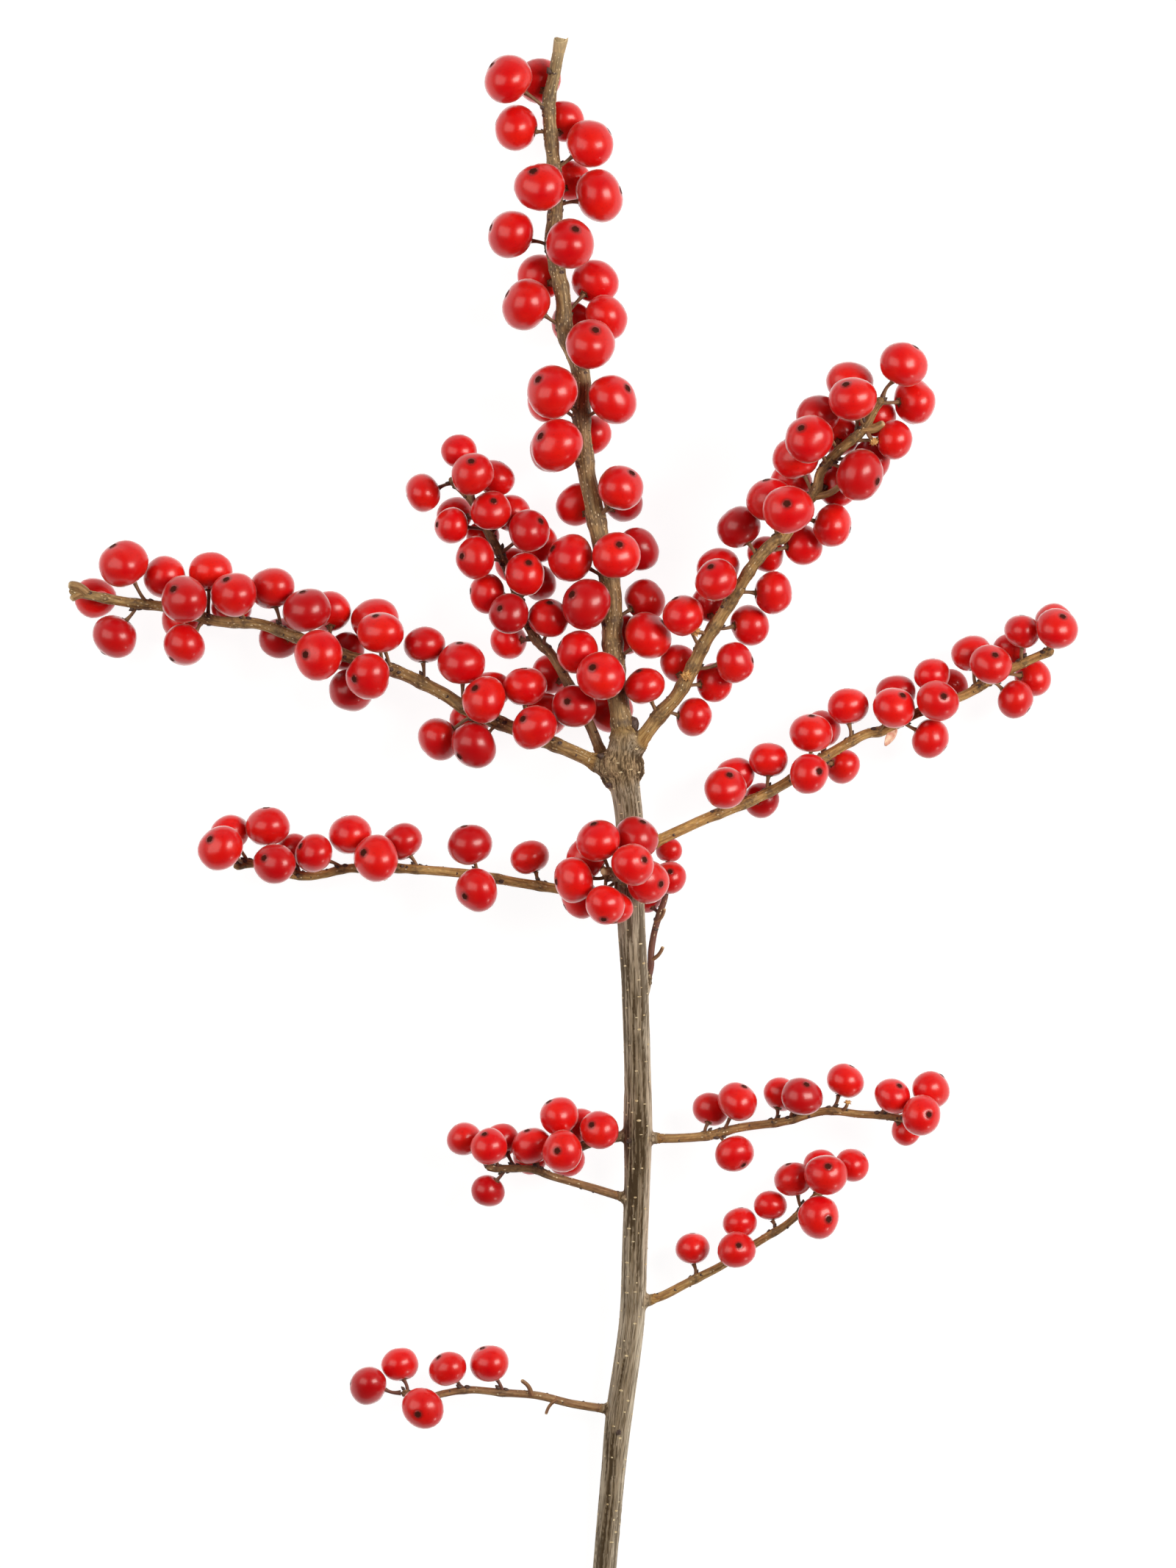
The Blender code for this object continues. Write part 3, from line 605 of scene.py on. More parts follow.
def settle(berries, wood_runs):
    """Move the berries apart, clear of all wood and stalks, and off the surface.

    Each berry keeps near the place where it grew, within reach of its stalk.
    """
    middles = np.array([berry.middle for berry in berries])
    homes = middles.copy()
    axils = np.array([berry.axil for berry in berries])
    radii = np.array([berry.radius for berry in berries])
    names = np.array([berry.spray for berry in berries])
    room = np.where(names[:, None] == names[None, :], ROOM_IN_SPRAY, ROOM_BETWEEN_SPRAYS)
    apart = radii[:, None] + radii[None, :] + room
    np.fill_diagonal(apart, 0)
    starts, ends, girths = (np.array(column) for column in zip(*wood_runs))
    clear = radii[:, None] + girths[None, :] + ROOM_BETWEEN_SPRAYS
    stalk_clear = radii[:, None] + STALK_RADIUS + room
    np.fill_diagonal(stalk_clear, 0)
    rows = np.arange(len(berries))
    for _ in range(SETTLING_ROUNDS):
        moves = HOMING * (homes - middles)

        steps = middles[:, None, :] - middles[None, :, :]
        gaps = gap_lengths(steps)
        short = np.clip(apart - gaps, 0, None)
        moves += (steps * (0.5 * short / gaps)[:, :, None]).sum(axis=1)

        steps, gaps = nearest_on_runs(middles, starts, ends)
        short = np.clip(clear - gaps, 0, None)
        deepest = short.argmax(axis=1)
        moves += steps[rows, deepest] * (short[rows, deepest] / gaps[rows, deepest])[:, None]

        stalk_ends = middles + (axils - middles) * 0.5
        steps, gaps = nearest_on_runs(middles, axils, stalk_ends)
        short = np.clip(stalk_clear - gaps, 0, None)
        push = steps * (0.5 * short / gaps)[:, :, None]
        moves += push.sum(axis=1) - 0.5 * push.sum(axis=0)

        middles += SETTLING_STEP * moves
        reach = middles - axils
        far = np.linalg.norm(reach, axis=1)
        allowed = np.minimum(far, radii + STALK_REACH)
        middles = axils + reach * (allowed / far)[:, None]
        middles[:, 2] = np.maximum(middles[:, 2], radii + CLEAR_OF_SURFACE)
    for berry, middle in zip(berries, middles):
        berry.middle = Vector(middle)


def rest_lowest(berries, name):
    """Let the lowest berry of a twig rest on the surface, pressed a little flat."""
    own = [berry for berry in berries if berry.spray == name]
    lowest = min(own, key=lambda berry: berry.middle.z - berry.radius)
    lowest.middle.z = lowest.radius * (1 - RESTING_DEPTH)


def wood_runs(paths):
    """Straight runs with a radius that stand for all the wood when berries settle."""
    runs = []
    for (start, radius), (end, _) in zip(STEM, STEM[1:]):
        runs.append((Vector(start), Vector(end), radius + STEM_ROOM))
    across = KNUCKLE_MIDDLE + Vector((0.2, 1.0, 0))
    runs.append((KNUCKLE_MIDDLE, across, KNUCKLE_HALF.y + KNUCKLE_ROOM))
    for name, path in paths.items():
        stops = np.linspace(0, path.length, max(2, math.ceil(path.length / RUN_LENGTH)))
        for near, far in zip(stops, stops[1:]):
            radius = taper(SPRAYS[name]["wood"], near, path.length)
            runs.append((path.at(near), path.at(far), radius + TWIG_ROOM))
    return runs


@functools.lru_cache(maxsize=None)
def grow_sprig():
    """The paths of all twigs, and their berries where they grew and settled."""
    draw = random.Random(SEED)
    paths = {name: Path(spray["path"]) for name, spray in SPRAYS.items()}
    berries = []
    for name, spray in SPRAYS.items():
        berries += grow_berries(paths[name], name, spray, draw)
    settle(berries, wood_runs(paths))
    for name, spray in SPRAYS.items():
        if spray.get("rests"):
            rest_lowest(berries, name)
    return paths, berries


def place(point):
    """A point of the tables, in the frame's metres."""
    return (Vector(point) - BOX_MIDDLE) * MM


def check_layout():
    """Stop if the berries grown here don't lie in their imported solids."""
    _, berries = grow_sprig()
    for name in SPRAYS:
        lowest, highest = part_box(name)
        for berry in (item for item in berries if item.spray == name):
            middle = place(berry.middle)
            inside = all(low - LAYOUT_SLACK < value < high + LAYOUT_SLACK
                         for low, value, high in zip(lowest, middle, highest))
            if not inside:
                raise RuntimeError(f"a berry of {name} lies outside its solid")


# ---------------------------------------------------------------- small helpers


def linear(code):
    """A colour from its sRGB hex code."""
    values = [int(code[index:index + 2], 16) / 255 for index in (0, 2, 4)]
    return tuple(
        value / 12.92 if value <= 0.04045 else ((value + 0.055) / 1.055) ** 2.4
        for value in values
    ) + (1.0,)


def add_node(tree, kind, inputs=(), **settings):
    """Add a node with its settings, and fill its inputs."""
    made = tree.nodes.new(kind)
    for name, value in settings.items():
        setattr(made, name, value)
    fill_inputs(made, inputs)
    return made


def fill_inputs(node, inputs):
    """Fill a node's inputs, given by their names or in their order, with values, with nodes,
    or with nodes and the name of the output that is meant."""
    sockets = [socket for socket in node.inputs if socket.enabled]
    if isinstance(inputs, dict):
        sockets = [next(item for item in sockets if item.name == name) for name in inputs]
        inputs = inputs.values()
    for socket, value in zip(sockets, inputs):
        source, label = value, None
        if isinstance(value, tuple) and isinstance(value[0], bpy.types.Node):
            source, label = value
        if isinstance(source, bpy.types.Node):
            output = next(
                item for item in source.outputs if item.enabled and label in (None, item.name)
            )
            node.id_data.links.new(output, socket)
        else:
            socket.default_value = value


def new_tree(name, inputs):
    """A Geometry Nodes tree that takes a geometry and these inputs, what adds a node to
    it, and its input node."""
    tree = bpy.data.node_groups.new(name, "GeometryNodeTree")
    for label, kind in {"Geometry": "Geometry", **inputs}.items():
        tree.interface.new_socket(label, in_out="INPUT", socket_type=f"NodeSocket{kind}")
    tree.interface.new_socket("Geometry", in_out="OUTPUT", socket_type="NodeSocketGeometry")
    add = functools.partial(add_node, tree)
    return tree, add, add("NodeGroupInput")


def make_object(name, data):
    """An object at the origin that holds this mesh, lamp or lens."""
    thing = bpy.data.objects.new(name, data)
    bpy.context.scene.collection.objects.link(thing)
    return thing


def discard(*things):
    """Remove objects with their meshes."""
    for thing in things:
        data = thing.data
        bpy.data.objects.remove(thing)
        bpy.data.meshes.remove(data)


def keep_result(thing):
    """Turn what the modifiers of an object make of it into its plain mesh."""
    view = bpy.context.evaluated_depsgraph_get()
    view.update()
    result = bpy.data.meshes.new_from_object(
        thing.evaluated_get(view), preserve_all_data_layers=True, depsgraph=view
    )
    thing.modifiers.clear()
    rough = thing.data
    thing.data = result
    bpy.data.meshes.remove(rough)
    result.name = thing.name
    return thing


def run_tree(thing, tree, values):
    """Run a Geometry Nodes tree with these inputs on an object, and keep the result."""
    modifier = thing.modifiers.new(tree.name, "NODES")
    modifier.node_group = tree
    for item in tree.interface.items_tree:
        if item.in_out == "INPUT" and item.name in values:
            modifier[item.identifier] = values[item.name]
    return keep_result(thing)


def set_values(data, **layers):
    """Store layers of values, one number or three for each vertex of a mesh."""
    for name, values in layers.items():
        values = np.asarray(values, dtype=float)
        kind, key = ("FLOAT_VECTOR", "vector") if values.ndim == 2 else ("FLOAT", "value")
        data.attributes.new(name, kind, "POINT").data.foreach_set(key, values.ravel())


def set_numbers(data, name, domain, values):
    """Store one whole number for each vertex or face of a mesh."""
    data.attributes.new(name, "INT", domain).data.foreach_set("value", values)


def vertex_places(data):
    """The places of a mesh's vertices, a row for each."""
    places = np.zeros(len(data.vertices) * 3)
    data.vertices.foreach_get("co", places)
    return places.reshape(-1, 3)


def dress(thing, slot, *nodes):
    """Let a finished piece ride on the sprig and stand for these solids, which it hides; the slot
    it is given is not used.
    """
    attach(thing, "root")
    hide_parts(*nodes)


# ---------------------------------------------------------------- geometry node trees


def add_noise(add, where, size, length, detail=2.0):
    """Noise that is this wide round the wood and this long along it, in millimetres."""
    stretched = add("ShaderNodeVectorMath", [where, (1 / size, 1 / size, 1 / length)],
                    operation="MULTIPLY")
    return add("ShaderNodeTexNoise", {
        "Vector": stretched, "Scale": 1.0, "Detail": detail, "Roughness": 0.55,
    })


def add_relief(add, geometry, height):
    """Push a surface out along its normals by this height."""
    normal = add("GeometryNodeInputNormal")
    offset = add("ShaderNodeVectorMath", [normal, height], operation="SCALE")
    return add("GeometryNodeSetPosition", {"Geometry": geometry, "Offset": offset})


def add_resting(add, geometry):
    """Raise whatever would reach below the surface that the sprig lies on."""
    apart = add("ShaderNodeSeparateXYZ", [add("GeometryNodeInputPosition")])
    raised = add("ShaderNodeMath", [(apart, "Z"), 0.0], operation="MAXIMUM")
    lifted = add("ShaderNodeCombineXYZ", [(apart, "X"), (apart, "Y"), raised])
    return add("GeometryNodeSetPosition", {"Geometry": geometry, "Position": lifted})


def add_bark(add, given, wood):
    """Give the wood its bark, and scatter pores over it, turned along its grain."""
    smooth = add("GeometryNodeSetShadeSmooth", {"Geometry": wood})
    barked = add("GeometryNodeSetMaterial", {"Geometry": smooth, "Material": (given, "Bark")})
    points = add("GeometryNodeDistributePointsOnFaces", {
        "Mesh": barked,
        "Distance Min": (given, "Pore Spacing"),
        "Density Max": (given, "Pore Density"),
        "Seed": (given, "Seed"),
    }, distribute_method="POISSON")
    grain = add("GeometryNodeInputNamedAttribute", {"Name": "grain"},
                data_type="FLOAT_VECTOR")
    turned = add("FunctionNodeAlignRotationToVector", {
        "Rotation": (points, "Rotation"), "Vector": grain,
    }, axis="X", pivot_axis="Z")
    size = add("FunctionNodeRandomValue", {
        "Min": PORE_SCALES[0], "Max": PORE_SCALES[1], "Seed": (given, "Seed"),
    }, data_type="FLOAT_VECTOR")
    shape = add("GeometryNodeObjectInfo", {"Object": (given, "Pore Shape")})
    pores = add("GeometryNodeInstanceOnPoints", {
        "Points": points, "Instance": (shape, "Geometry"), "Rotation": turned,
        "Scale": size,
    })
    real = add("GeometryNodeRealizeInstances", {"Geometry": pores})
    corky = add("GeometryNodeSetMaterial", {
        "Geometry": real, "Material": (given, "Pore Material"),
    })
    both = add("GeometryNodeJoinGeometry", [barked])
    fill_inputs(both, [corky])
    return both


@functools.lru_cache(maxsize=None)
def tube_tree():
    """Wood that follows paths: a tube of the stored girth, wrinkled, with pores."""
    tree, add, given = new_tree("wood along a path", {"Sides": "Int", **BARK_INPUTS})
    girth, along, stored_rim, stored = (
        add("GeometryNodeInputNamedAttribute", {"Name": name}, data_type=kind)
        for name, kind in (("girth", "FLOAT"), ("along", "FLOAT"),
                           ("rim", "FLOAT_VECTOR"), ("bark_place", "FLOAT_VECTOR")))
    line = add("GeometryNodeMeshToCurve", {"Mesh": given})
    circle = add("GeometryNodeCurvePrimitiveCircle", {
        "Resolution": (given, "Sides"), "Radius": 1.0,
    })
    rim = add("GeometryNodeStoreNamedAttribute", {
        "Geometry": circle, "Name": "rim", "Value": add("GeometryNodeInputPosition"),
    }, data_type="FLOAT_VECTOR", domain="POINT")
    tube_wall = add("GeometryNodeCurveToMesh", {
        "Curve": line, "Profile Curve": rim, "Scale": girth, "Fill Caps": True,
    })
    upward = add("ShaderNodeCombineXYZ", {"Z": along})
    width = add("ShaderNodeMath", [girth, 1 / MM], operation="MULTIPLY")
    around = add("ShaderNodeVectorMath", [stored_rim, width], operation="SCALE")
    where = add("ShaderNodeVectorMath", [around, upward], operation="ADD")
    placed = add("GeometryNodeStoreNamedAttribute", {
        "Geometry": tube_wall, "Name": "bark_place", "Value": where,
    }, data_type="FLOAT_VECTOR", domain="POINT")
    wrinkles = add_noise(add, stored, TWIG_WRINKLE, TWIG_WRINKLE * 6)
    swing = add("ShaderNodeMapRange", [wrinkles, *NOISE_SWING])
    height = add("ShaderNodeMath", [swing, (given, "Wrinkle Depth")], operation="MULTIPLY")
    wrinkled = add_relief(add, placed, height)
    add("NodeGroupOutput", [add_bark(add, given, wrinkled)])
    return tree


@functools.lru_cache(maxsize=None)
def fissure_tree():
    """Old bark: furrows that run along the stem, wrinkles at the knots, and pores."""
    tree, add, given = new_tree("fissured bark", {"Furrow Depth": "Float", **BARK_INPUTS})
    where, furrow, weathered, knotty = (
        add("GeometryNodeInputNamedAttribute", {"Name": name}, data_type=kind)
        for name, kind in (("bark_place", "FLOAT_VECTOR"), ("furrow", "FLOAT"),
                           ("weathered", "FLOAT"), ("knotty", "FLOAT")))
    stripes = add_noise(add, where, FURROW_WIDTH, FURROW_LENGTH)
    bands = add_noise(add, where, BAND_WIDTH, BAND_LENGTH, detail=1.0)
    edge = add("ShaderNodeMapRange", [bands, 0.35, 0.62, 0.66, 0.44])
    above = add("ShaderNodeMath", [stripes, edge], operation="SUBTRACT")
    depth = add("ShaderNodeMapRange", [above, -0.03, 0.07], interpolation_type="SMOOTHSTEP")
    marked = given
    for name, value in (("furrow", depth), ("band", bands)):
        marked = add("GeometryNodeStoreNamedAttribute", {
            "Geometry": marked, "Name": name, "Value": value,
        }, data_type="FLOAT", domain="POINT")
    # Furrows run shallower where the stem is painted paler: on its edges lit by painted light, and
    # along its pale stretch.
    sound = add("ShaderNodeMapRange", {"Value": weathered, "To Min": 1.0, "To Max": 0.5})
    knobs = add_noise(add, where, KNOT_WRINKLE, KNOT_WRINKLE * 0.7)
    swing = add("ShaderNodeMapRange", [knobs, *NOISE_SWING])
    dip, swell = (
        add("ShaderNodeMath", [
            add("ShaderNodeMath", [height, share], operation="MULTIPLY"), depth,
        ], operation="MULTIPLY")
        for height, share, depth in ((furrow, sound, (given, "Furrow Depth")),
                                     (swing, knotty, (given, "Wrinkle Depth"))))
    height = add("ShaderNodeMath", [swell, dip], operation="SUBTRACT")
    barked = add_bark(add, given, add_relief(add, marked, height))
    add("NodeGroupOutput", [add_resting(add, barked)])
    return tree


@functools.lru_cache(maxsize=None)
def cluster_tree():
    """One of several shapes on each point, turned along its stored axis, made uneven."""
    tree, add, given = new_tree("shapes on points", {
        "Shapes": "Collection", "Unevenness": "Float", "Dent Size": "Float",
        "Main Material": "Material", "Second Material": "Material",
    })
    axis, spin, size, shape, part = (
        add("GeometryNodeInputNamedAttribute", {"Name": name}, data_type=kind)
        for name, kind in (("axis", "FLOAT_VECTOR"), ("spin", "FLOAT"), ("size", "FLOAT"),
                           ("shape", "INT"), ("part", "INT")))
    shapes = add("GeometryNodeCollectionInfo", {
        "Collection": (given, "Shapes"), "Separate Children": True, "Reset Children": True,
    })
    towards = add("FunctionNodeAlignRotationToVector", {"Vector": axis}, axis="Z")
    twist = add("FunctionNodeAxisAngleToRotation", {
        "Axis": (0.0, 0.0, 1.0), "Angle": spin,
    })
    turned = add("FunctionNodeRotateRotation", {
        "Rotation": towards, "Rotate By": twist,
    }, rotation_space="LOCAL")
    placed = add("GeometryNodeInstanceOnPoints", {
        "Points": given, "Instance": shapes, "Pick Instance": True,
        "Instance Index": shape, "Rotation": turned, "Scale": size,
    })
    real = add("GeometryNodeRealizeInstances", {"Geometry": placed})
    dents = add("ShaderNodeTexNoise", {
        "Vector": add("GeometryNodeInputPosition"), "Scale": (given, "Dent Size"),
        "Detail": 1.0,
    })
    swing = add("ShaderNodeMapRange", [dents, *NOISE_SWING])
    height = add("ShaderNodeMath", [swing, (given, "Unevenness")], operation="MULTIPLY")
    resting = add_resting(add, add_relief(add, real, height))
    skinned = add("GeometryNodeSetMaterial", {
        "Geometry": resting, "Material": (given, "Main Material"),
    })
    second = add("FunctionNodeCompare", {"A": part, "B": SECOND}, data_type="INT",
                 operation="EQUAL")
    finished = add("GeometryNodeSetMaterial", {
        "Geometry": skinned, "Selection": second, "Material": (given, "Second Material"),
    })
    add("NodeGroupOutput", [finished])
    return tree


# ---------------------------------------------------------------- materials


def new_material(name):
    """A Principled material, what adds a node to it, and its shader."""
    made = bpy.data.materials.new(name)
    made.use_nodes = True
    tree = made.node_tree
    return made, functools.partial(add_node, tree), tree.nodes["Principled BSDF"]


def young_bark_colour(add, where):
    """Smooth young bark: olive to golden to reddish, in fine lengthwise streaks."""
    look = bpy.context.scene.holly_wood
    warm, red, node = ((add("ShaderNodeAttribute", attribute_name=name), "Fac")
                       for name in ("warm", "red", "node"))
    streaks = add("ShaderNodeMapRange", [
        add_noise(add, where, 0.35, 5.0, detail=3.0), 0.36, 0.66])
    olive, golden = (
        add("ShaderNodeMix", [streaks, dark, pale], data_type="RGBA")
        for dark, pale in ((look.olive_dark, look.olive_pale),
                           (look.golden_dark, look.golden_pale)))
    patchy = add("ShaderNodeMath", [add_noise(add, where, 1.6, 9.0), 0.8, -0.4],
                 operation="MULTIPLY_ADD")
    golden_share = add("ShaderNodeMath", [warm, patchy], operation="ADD", use_clamp=True)
    shade = add("ShaderNodeMapRange", [
        add_noise(add, where, 0.5, 0.6), 0.35, 0.6, 0.15, 0.75])
    knob_share = add("ShaderNodeMath", [node, shade], operation="MULTIPLY")
    colour = olive
    for share, over in ((golden_share, golden), (red, look.red_bark),
                        (knob_share, look.knot_brown)):
        colour = add("ShaderNodeMix", [share, colour, over], data_type="RGBA")
    return colour, streaks


def young_bark():
    """Bark of this year's and last year's twigs: thin, smooth and faintly waxy, so it has
    a soft sheen where old bark has none, and its green layer shows through the brown."""
    look = bpy.context.scene.holly_wood
    made, add, shader = new_material("young_holly_bark")
    where = (add("ShaderNodeAttribute", attribute_name="bark_place"), "Vector")
    cut = (add("ShaderNodeAttribute", attribute_name="cut"), "Fac")
    colour, streaks = young_bark_colour(add, where)
    dimming = add("ShaderNodeMapRange", [
        add_noise(add, where, 0.45, 0.9, detail=4.0), 0.35, 0.65, 0.72, 1.12])
    blotched = add("ShaderNodeMix", [1.0, colour, dimming], data_type="RGBA",
                   blend_type="MULTIPLY")
    pale = add("ShaderNodeMix", [cut, blotched, look.fresh_wood], data_type="RGBA")
    gloss = add("ShaderNodeMapRange", {"Value": streaks, "To Min": 0.62, "To Max": 0.5})
    bump = add("ShaderNodeBump", {
        "Height": add_noise(add, where, 0.14, 0.5, detail=3.0),
        "Strength": 0.7, "Distance": 0.00009,
    })
    fill_inputs(shader, {
        "Base Color": pale, "Roughness": gloss, "Normal": bump, "IOR": 1.45,
    })
    return made


def old_bark():
    """Bark of the older stem: dry dead cork, fully matt, split lengthwise into dark
    furrows between weather-worn grey-tan ridges; the cut end shows pale wood in rings.
    The stem's right edge and, fainter, its left edge as seen from the camera are painted
    paler: painted light from the side lamps."""
    look = bpy.context.scene.holly_wood
    made, add, shader = new_material("old_holly_bark")
    where = (add("ShaderNodeAttribute", attribute_name="bark_place"), "Vector")
    band, knotty, weathered, furrow, twigness, ring, cut = (
        (add("ShaderNodeAttribute", attribute_name=name), "Fac")
        for name in ("band", "knotty", "weathered", "furrow", "twigness", "ring", "cut"))
    streaks = add("ShaderNodeMapRange", [
        add_noise(add, where, 0.28, 3.5, detail=4.0), 0.35, 0.65])
    crowded = add("ShaderNodeMapRange", [band, 0.38, 0.62, 0.0, 0.4])
    hairline = add("ShaderNodeMapRange", [
        add_noise(add, where, 0.17, 5.0, detail=3.0), 0.5, 0.62, 0.0, 0.8])
    lines = add("ShaderNodeMath", [hairline, furrow], operation="MAXIMUM")
    # Hairlines and furrows show fainter where the stem is painted paler: on its edges lit by
    # painted light, and along its pale stretch.
    sound = add("ShaderNodeMapRange", {"Value": weathered, "To Min": 1.0, "To Max": 0.8})
    dark = add("ShaderNodeMath", [lines, sound], operation="MULTIPLY")
    mottle = add("ShaderNodeMapRange", {
        "Value": add_noise(add, where, 0.8, 0.7, detail=3.0),
        "From Min": 0.46, "From Max": 0.6, "To Max": 0.55,
    })
    scarred = add("ShaderNodeMath", [mottle, knotty], operation="MULTIPLY")
    young, _ = young_bark_colour(add, where)

    wave = add("ShaderNodeMath", [ring, YEAR_RINGS * math.tau], operation="MULTIPLY")
    sine = add("ShaderNodeMath", [wave], operation="SINE")
    grown = add("ShaderNodeMapRange", [sine, -1.0, 1.0])
    wood = add("ShaderNodeMix", [grown, look.fresh_wood, look.late_wood], data_type="RGBA")
    core = add("ShaderNodeMapRange", [ring, 0.1, 0.16, 1.0, 0.0])
    cut_face = add("ShaderNodeMix", [core, wood, look.pith], data_type="RGBA")

    colour = look.ridge_dark
    # The pale bark share paints light. The stem's right edge and, fainter, its left edge as seen
    # from the camera are painted paler as if lit by the side lamps. Along its pale stretch the
    # paler tone is the bark's own.
    for share, over in (
        (streaks, look.ridge_pale), (crowded, look.ridge_brown), (knotty, look.knot_tan),
        (weathered, look.weathered), (dark, look.furrow), (scarred, look.knot_brown),
        (twigness, young), (cut, cut_face),
    ):
        colour = add("ShaderNodeMix", [share, colour, over], data_type="RGBA")
    height = add("ShaderNodeMath", [add_noise(add, where, 0.13, 1.2, detail=3.0), dark],
                 operation="SUBTRACT")
    bump = add("ShaderNodeBump", {"Height": height, "Strength": 0.8, "Distance": 0.00014})
    fill_inputs(shader, {
        "Base Color": colour, "Normal": bump, "Roughness": 0.88,
        "Specular IOR Level": 0.3,
    })
    return made


def fruit_skin():
    """Skin of a ripe berry: a thin waxy cuticle over juicy flesh, so it is glossy with
    soft highlights, and light that enters the flesh comes out a deeper red."""
    look = bpy.context.scene.holly_berries
    made, add, shader = new_material("ripe_berry_skin")
    here = (add("ShaderNodeTexCoord"), "Object")
    tint, pole, scar = ((add("ShaderNodeAttribute", attribute_name=name), "Fac")
                        for name in ("tint", "pole", "scar"))
    blush, specks, peel = (
        add("ShaderNodeTexNoise", {
            "Vector": here, "Scale": 1 / (size * MM), "Detail": detail,
        }) for size, detail in ((5.0, 2.0), (0.45, 2.0), (0.8, 1.0)))
    warmth = add("ShaderNodeMapRange", [blush, 0.35, 0.65])
    speckle = add("ShaderNodeMapRange", [specks, 0.55, 0.75, 0.0, 0.35])
    halo = add("ShaderNodeMapRange", [pole, HALO_EDGE, SCAR_EDGE, 0.0, 0.75],
               interpolation_type="SMOOTHSTEP")
    colour = look.skin
    for share, over in ((warmth, look.skin_warm), (tint, look.skin_deep),
                        (speckle, look.skin_deep), (halo, look.halo), (scar, look.scar)):
        colour = add("ShaderNodeMix", [share, colour, over], data_type="RGBA")
    gloss, shine = (
        add("ShaderNodeMapRange", {"Value": scar, "To Min": on_skin, "To Max": on_scar})
        for on_skin, on_scar in ((look.roughness, 0.85), (0.5, 0.1)))
    bump = add("ShaderNodeBump", {"Height": peel, "Strength": 0.2, "Distance": 0.00002})
    edge = add("ShaderNodeLayerWeight", {"Blend": 0.5})
    rim = add("ShaderNodeMapRange", [(edge, "Facing"), 0.6, 0.8, look.coat, 0.85],
              interpolation_type="SMOOTHSTEP")
    sound = add("ShaderNodeMath", [1.0, scar], operation="SUBTRACT")
    wax = add("ShaderNodeMath", [rim, sound], operation="MULTIPLY")
    fill_inputs(shader, {
        "Base Color": colour, "Roughness": gloss, "Normal": bump, "IOR": 1.4,
        "Specular IOR Level": shine, "Coat Weight": wax, "Coat Roughness": 0.2,
        "Subsurface Weight": 0.1, "Subsurface Radius": (1.0, 0.25, 0.15),
        "Subsurface Scale": 1.2 * MM, "Sheen Weight": 0.45, "Sheen Roughness": 0.25,
        "Sheen Tint": linear("FFE4D8"),
    })
    return made


def dry_tissue(name, dark, pale, grain, roughness=0.85):
    """Dead, dried plant tissue such as bud scales, calyx lobes and cork: matt and
    mottled at the size of a few cells."""
    made, add, shader = new_material(name)
    mottle = add("ShaderNodeTexNoise", {
        "Vector": (add("ShaderNodeTexCoord"), "Object"), "Scale": 1 / (grain * MM),
        "Detail": 3.0,
    })
    share = add("ShaderNodeMapRange", [mottle, 0.35, 0.65])
    colour = add("ShaderNodeMix", [share, linear(dark), linear(pale)], data_type="RGBA")
    bump = add("ShaderNodeBump", {"Height": mottle, "Strength": 0.5, "Distance": 0.0001})
    fill_inputs(shader, {
        "Base Color": colour, "Normal": bump, "Roughness": roughness,
    })
    return made


@functools.lru_cache(maxsize=None)
def finishes():
    """Every material of the sprig, made once."""
    return {
        "old bark": old_bark(),
        "young bark": young_bark(),
        "skin": fruit_skin(),
        "calyx": dry_tissue("dried_calyx", "4A2E1C", "8A5A34", 0.3),
        "tan calyx": dry_tissue("old_calyx", "B07A3C", "DDB070", 0.4),
        "bud": dry_tissue("bud_scales", "33231E", "5C463A", 0.35, 0.6),
        "pore": dry_tissue("corky_pores", "B0976C", "DCCDAA", 0.4),
        "bract": dry_tissue("withered_bract", "D99C86", "F0D2B8", 0.9),
    }


# ---------------------------------------------------------------- shapes


def spun_mesh(rings, segments, top, bottom):
    """A closed mesh of rings, each a function of the angle that gives a point."""
    mesh = bmesh.new()
    loops = []
    for point_at in rings:
        angles = [math.tau * step / segments for step in range(segments)]
        loops.append([mesh.verts.new(point_at(angle)) for angle in angles])
    first, last = mesh.verts.new(top), mesh.verts.new(bottom)
    for step in range(segments):
        following = (step + 1) % segments
        mesh.faces.new((first, loops[0][step], loops[0][following]))
        mesh.faces.new((last, loops[-1][following], loops[-1][step]))
        for near, far in zip(loops, loops[1:]):
            mesh.faces.new((near[step], far[step], far[following], near[following]))
    bmesh.ops.recalc_face_normals(mesh, faces=mesh.faces)
    for face in mesh.faces:
        face.smooth = True
    return mesh


def as_mesh(mesh, name):
    """A Blender mesh from a bmesh."""
    data = bpy.data.meshes.new(name)
    mesh.to_mesh(data)
    mesh.free()
    return data


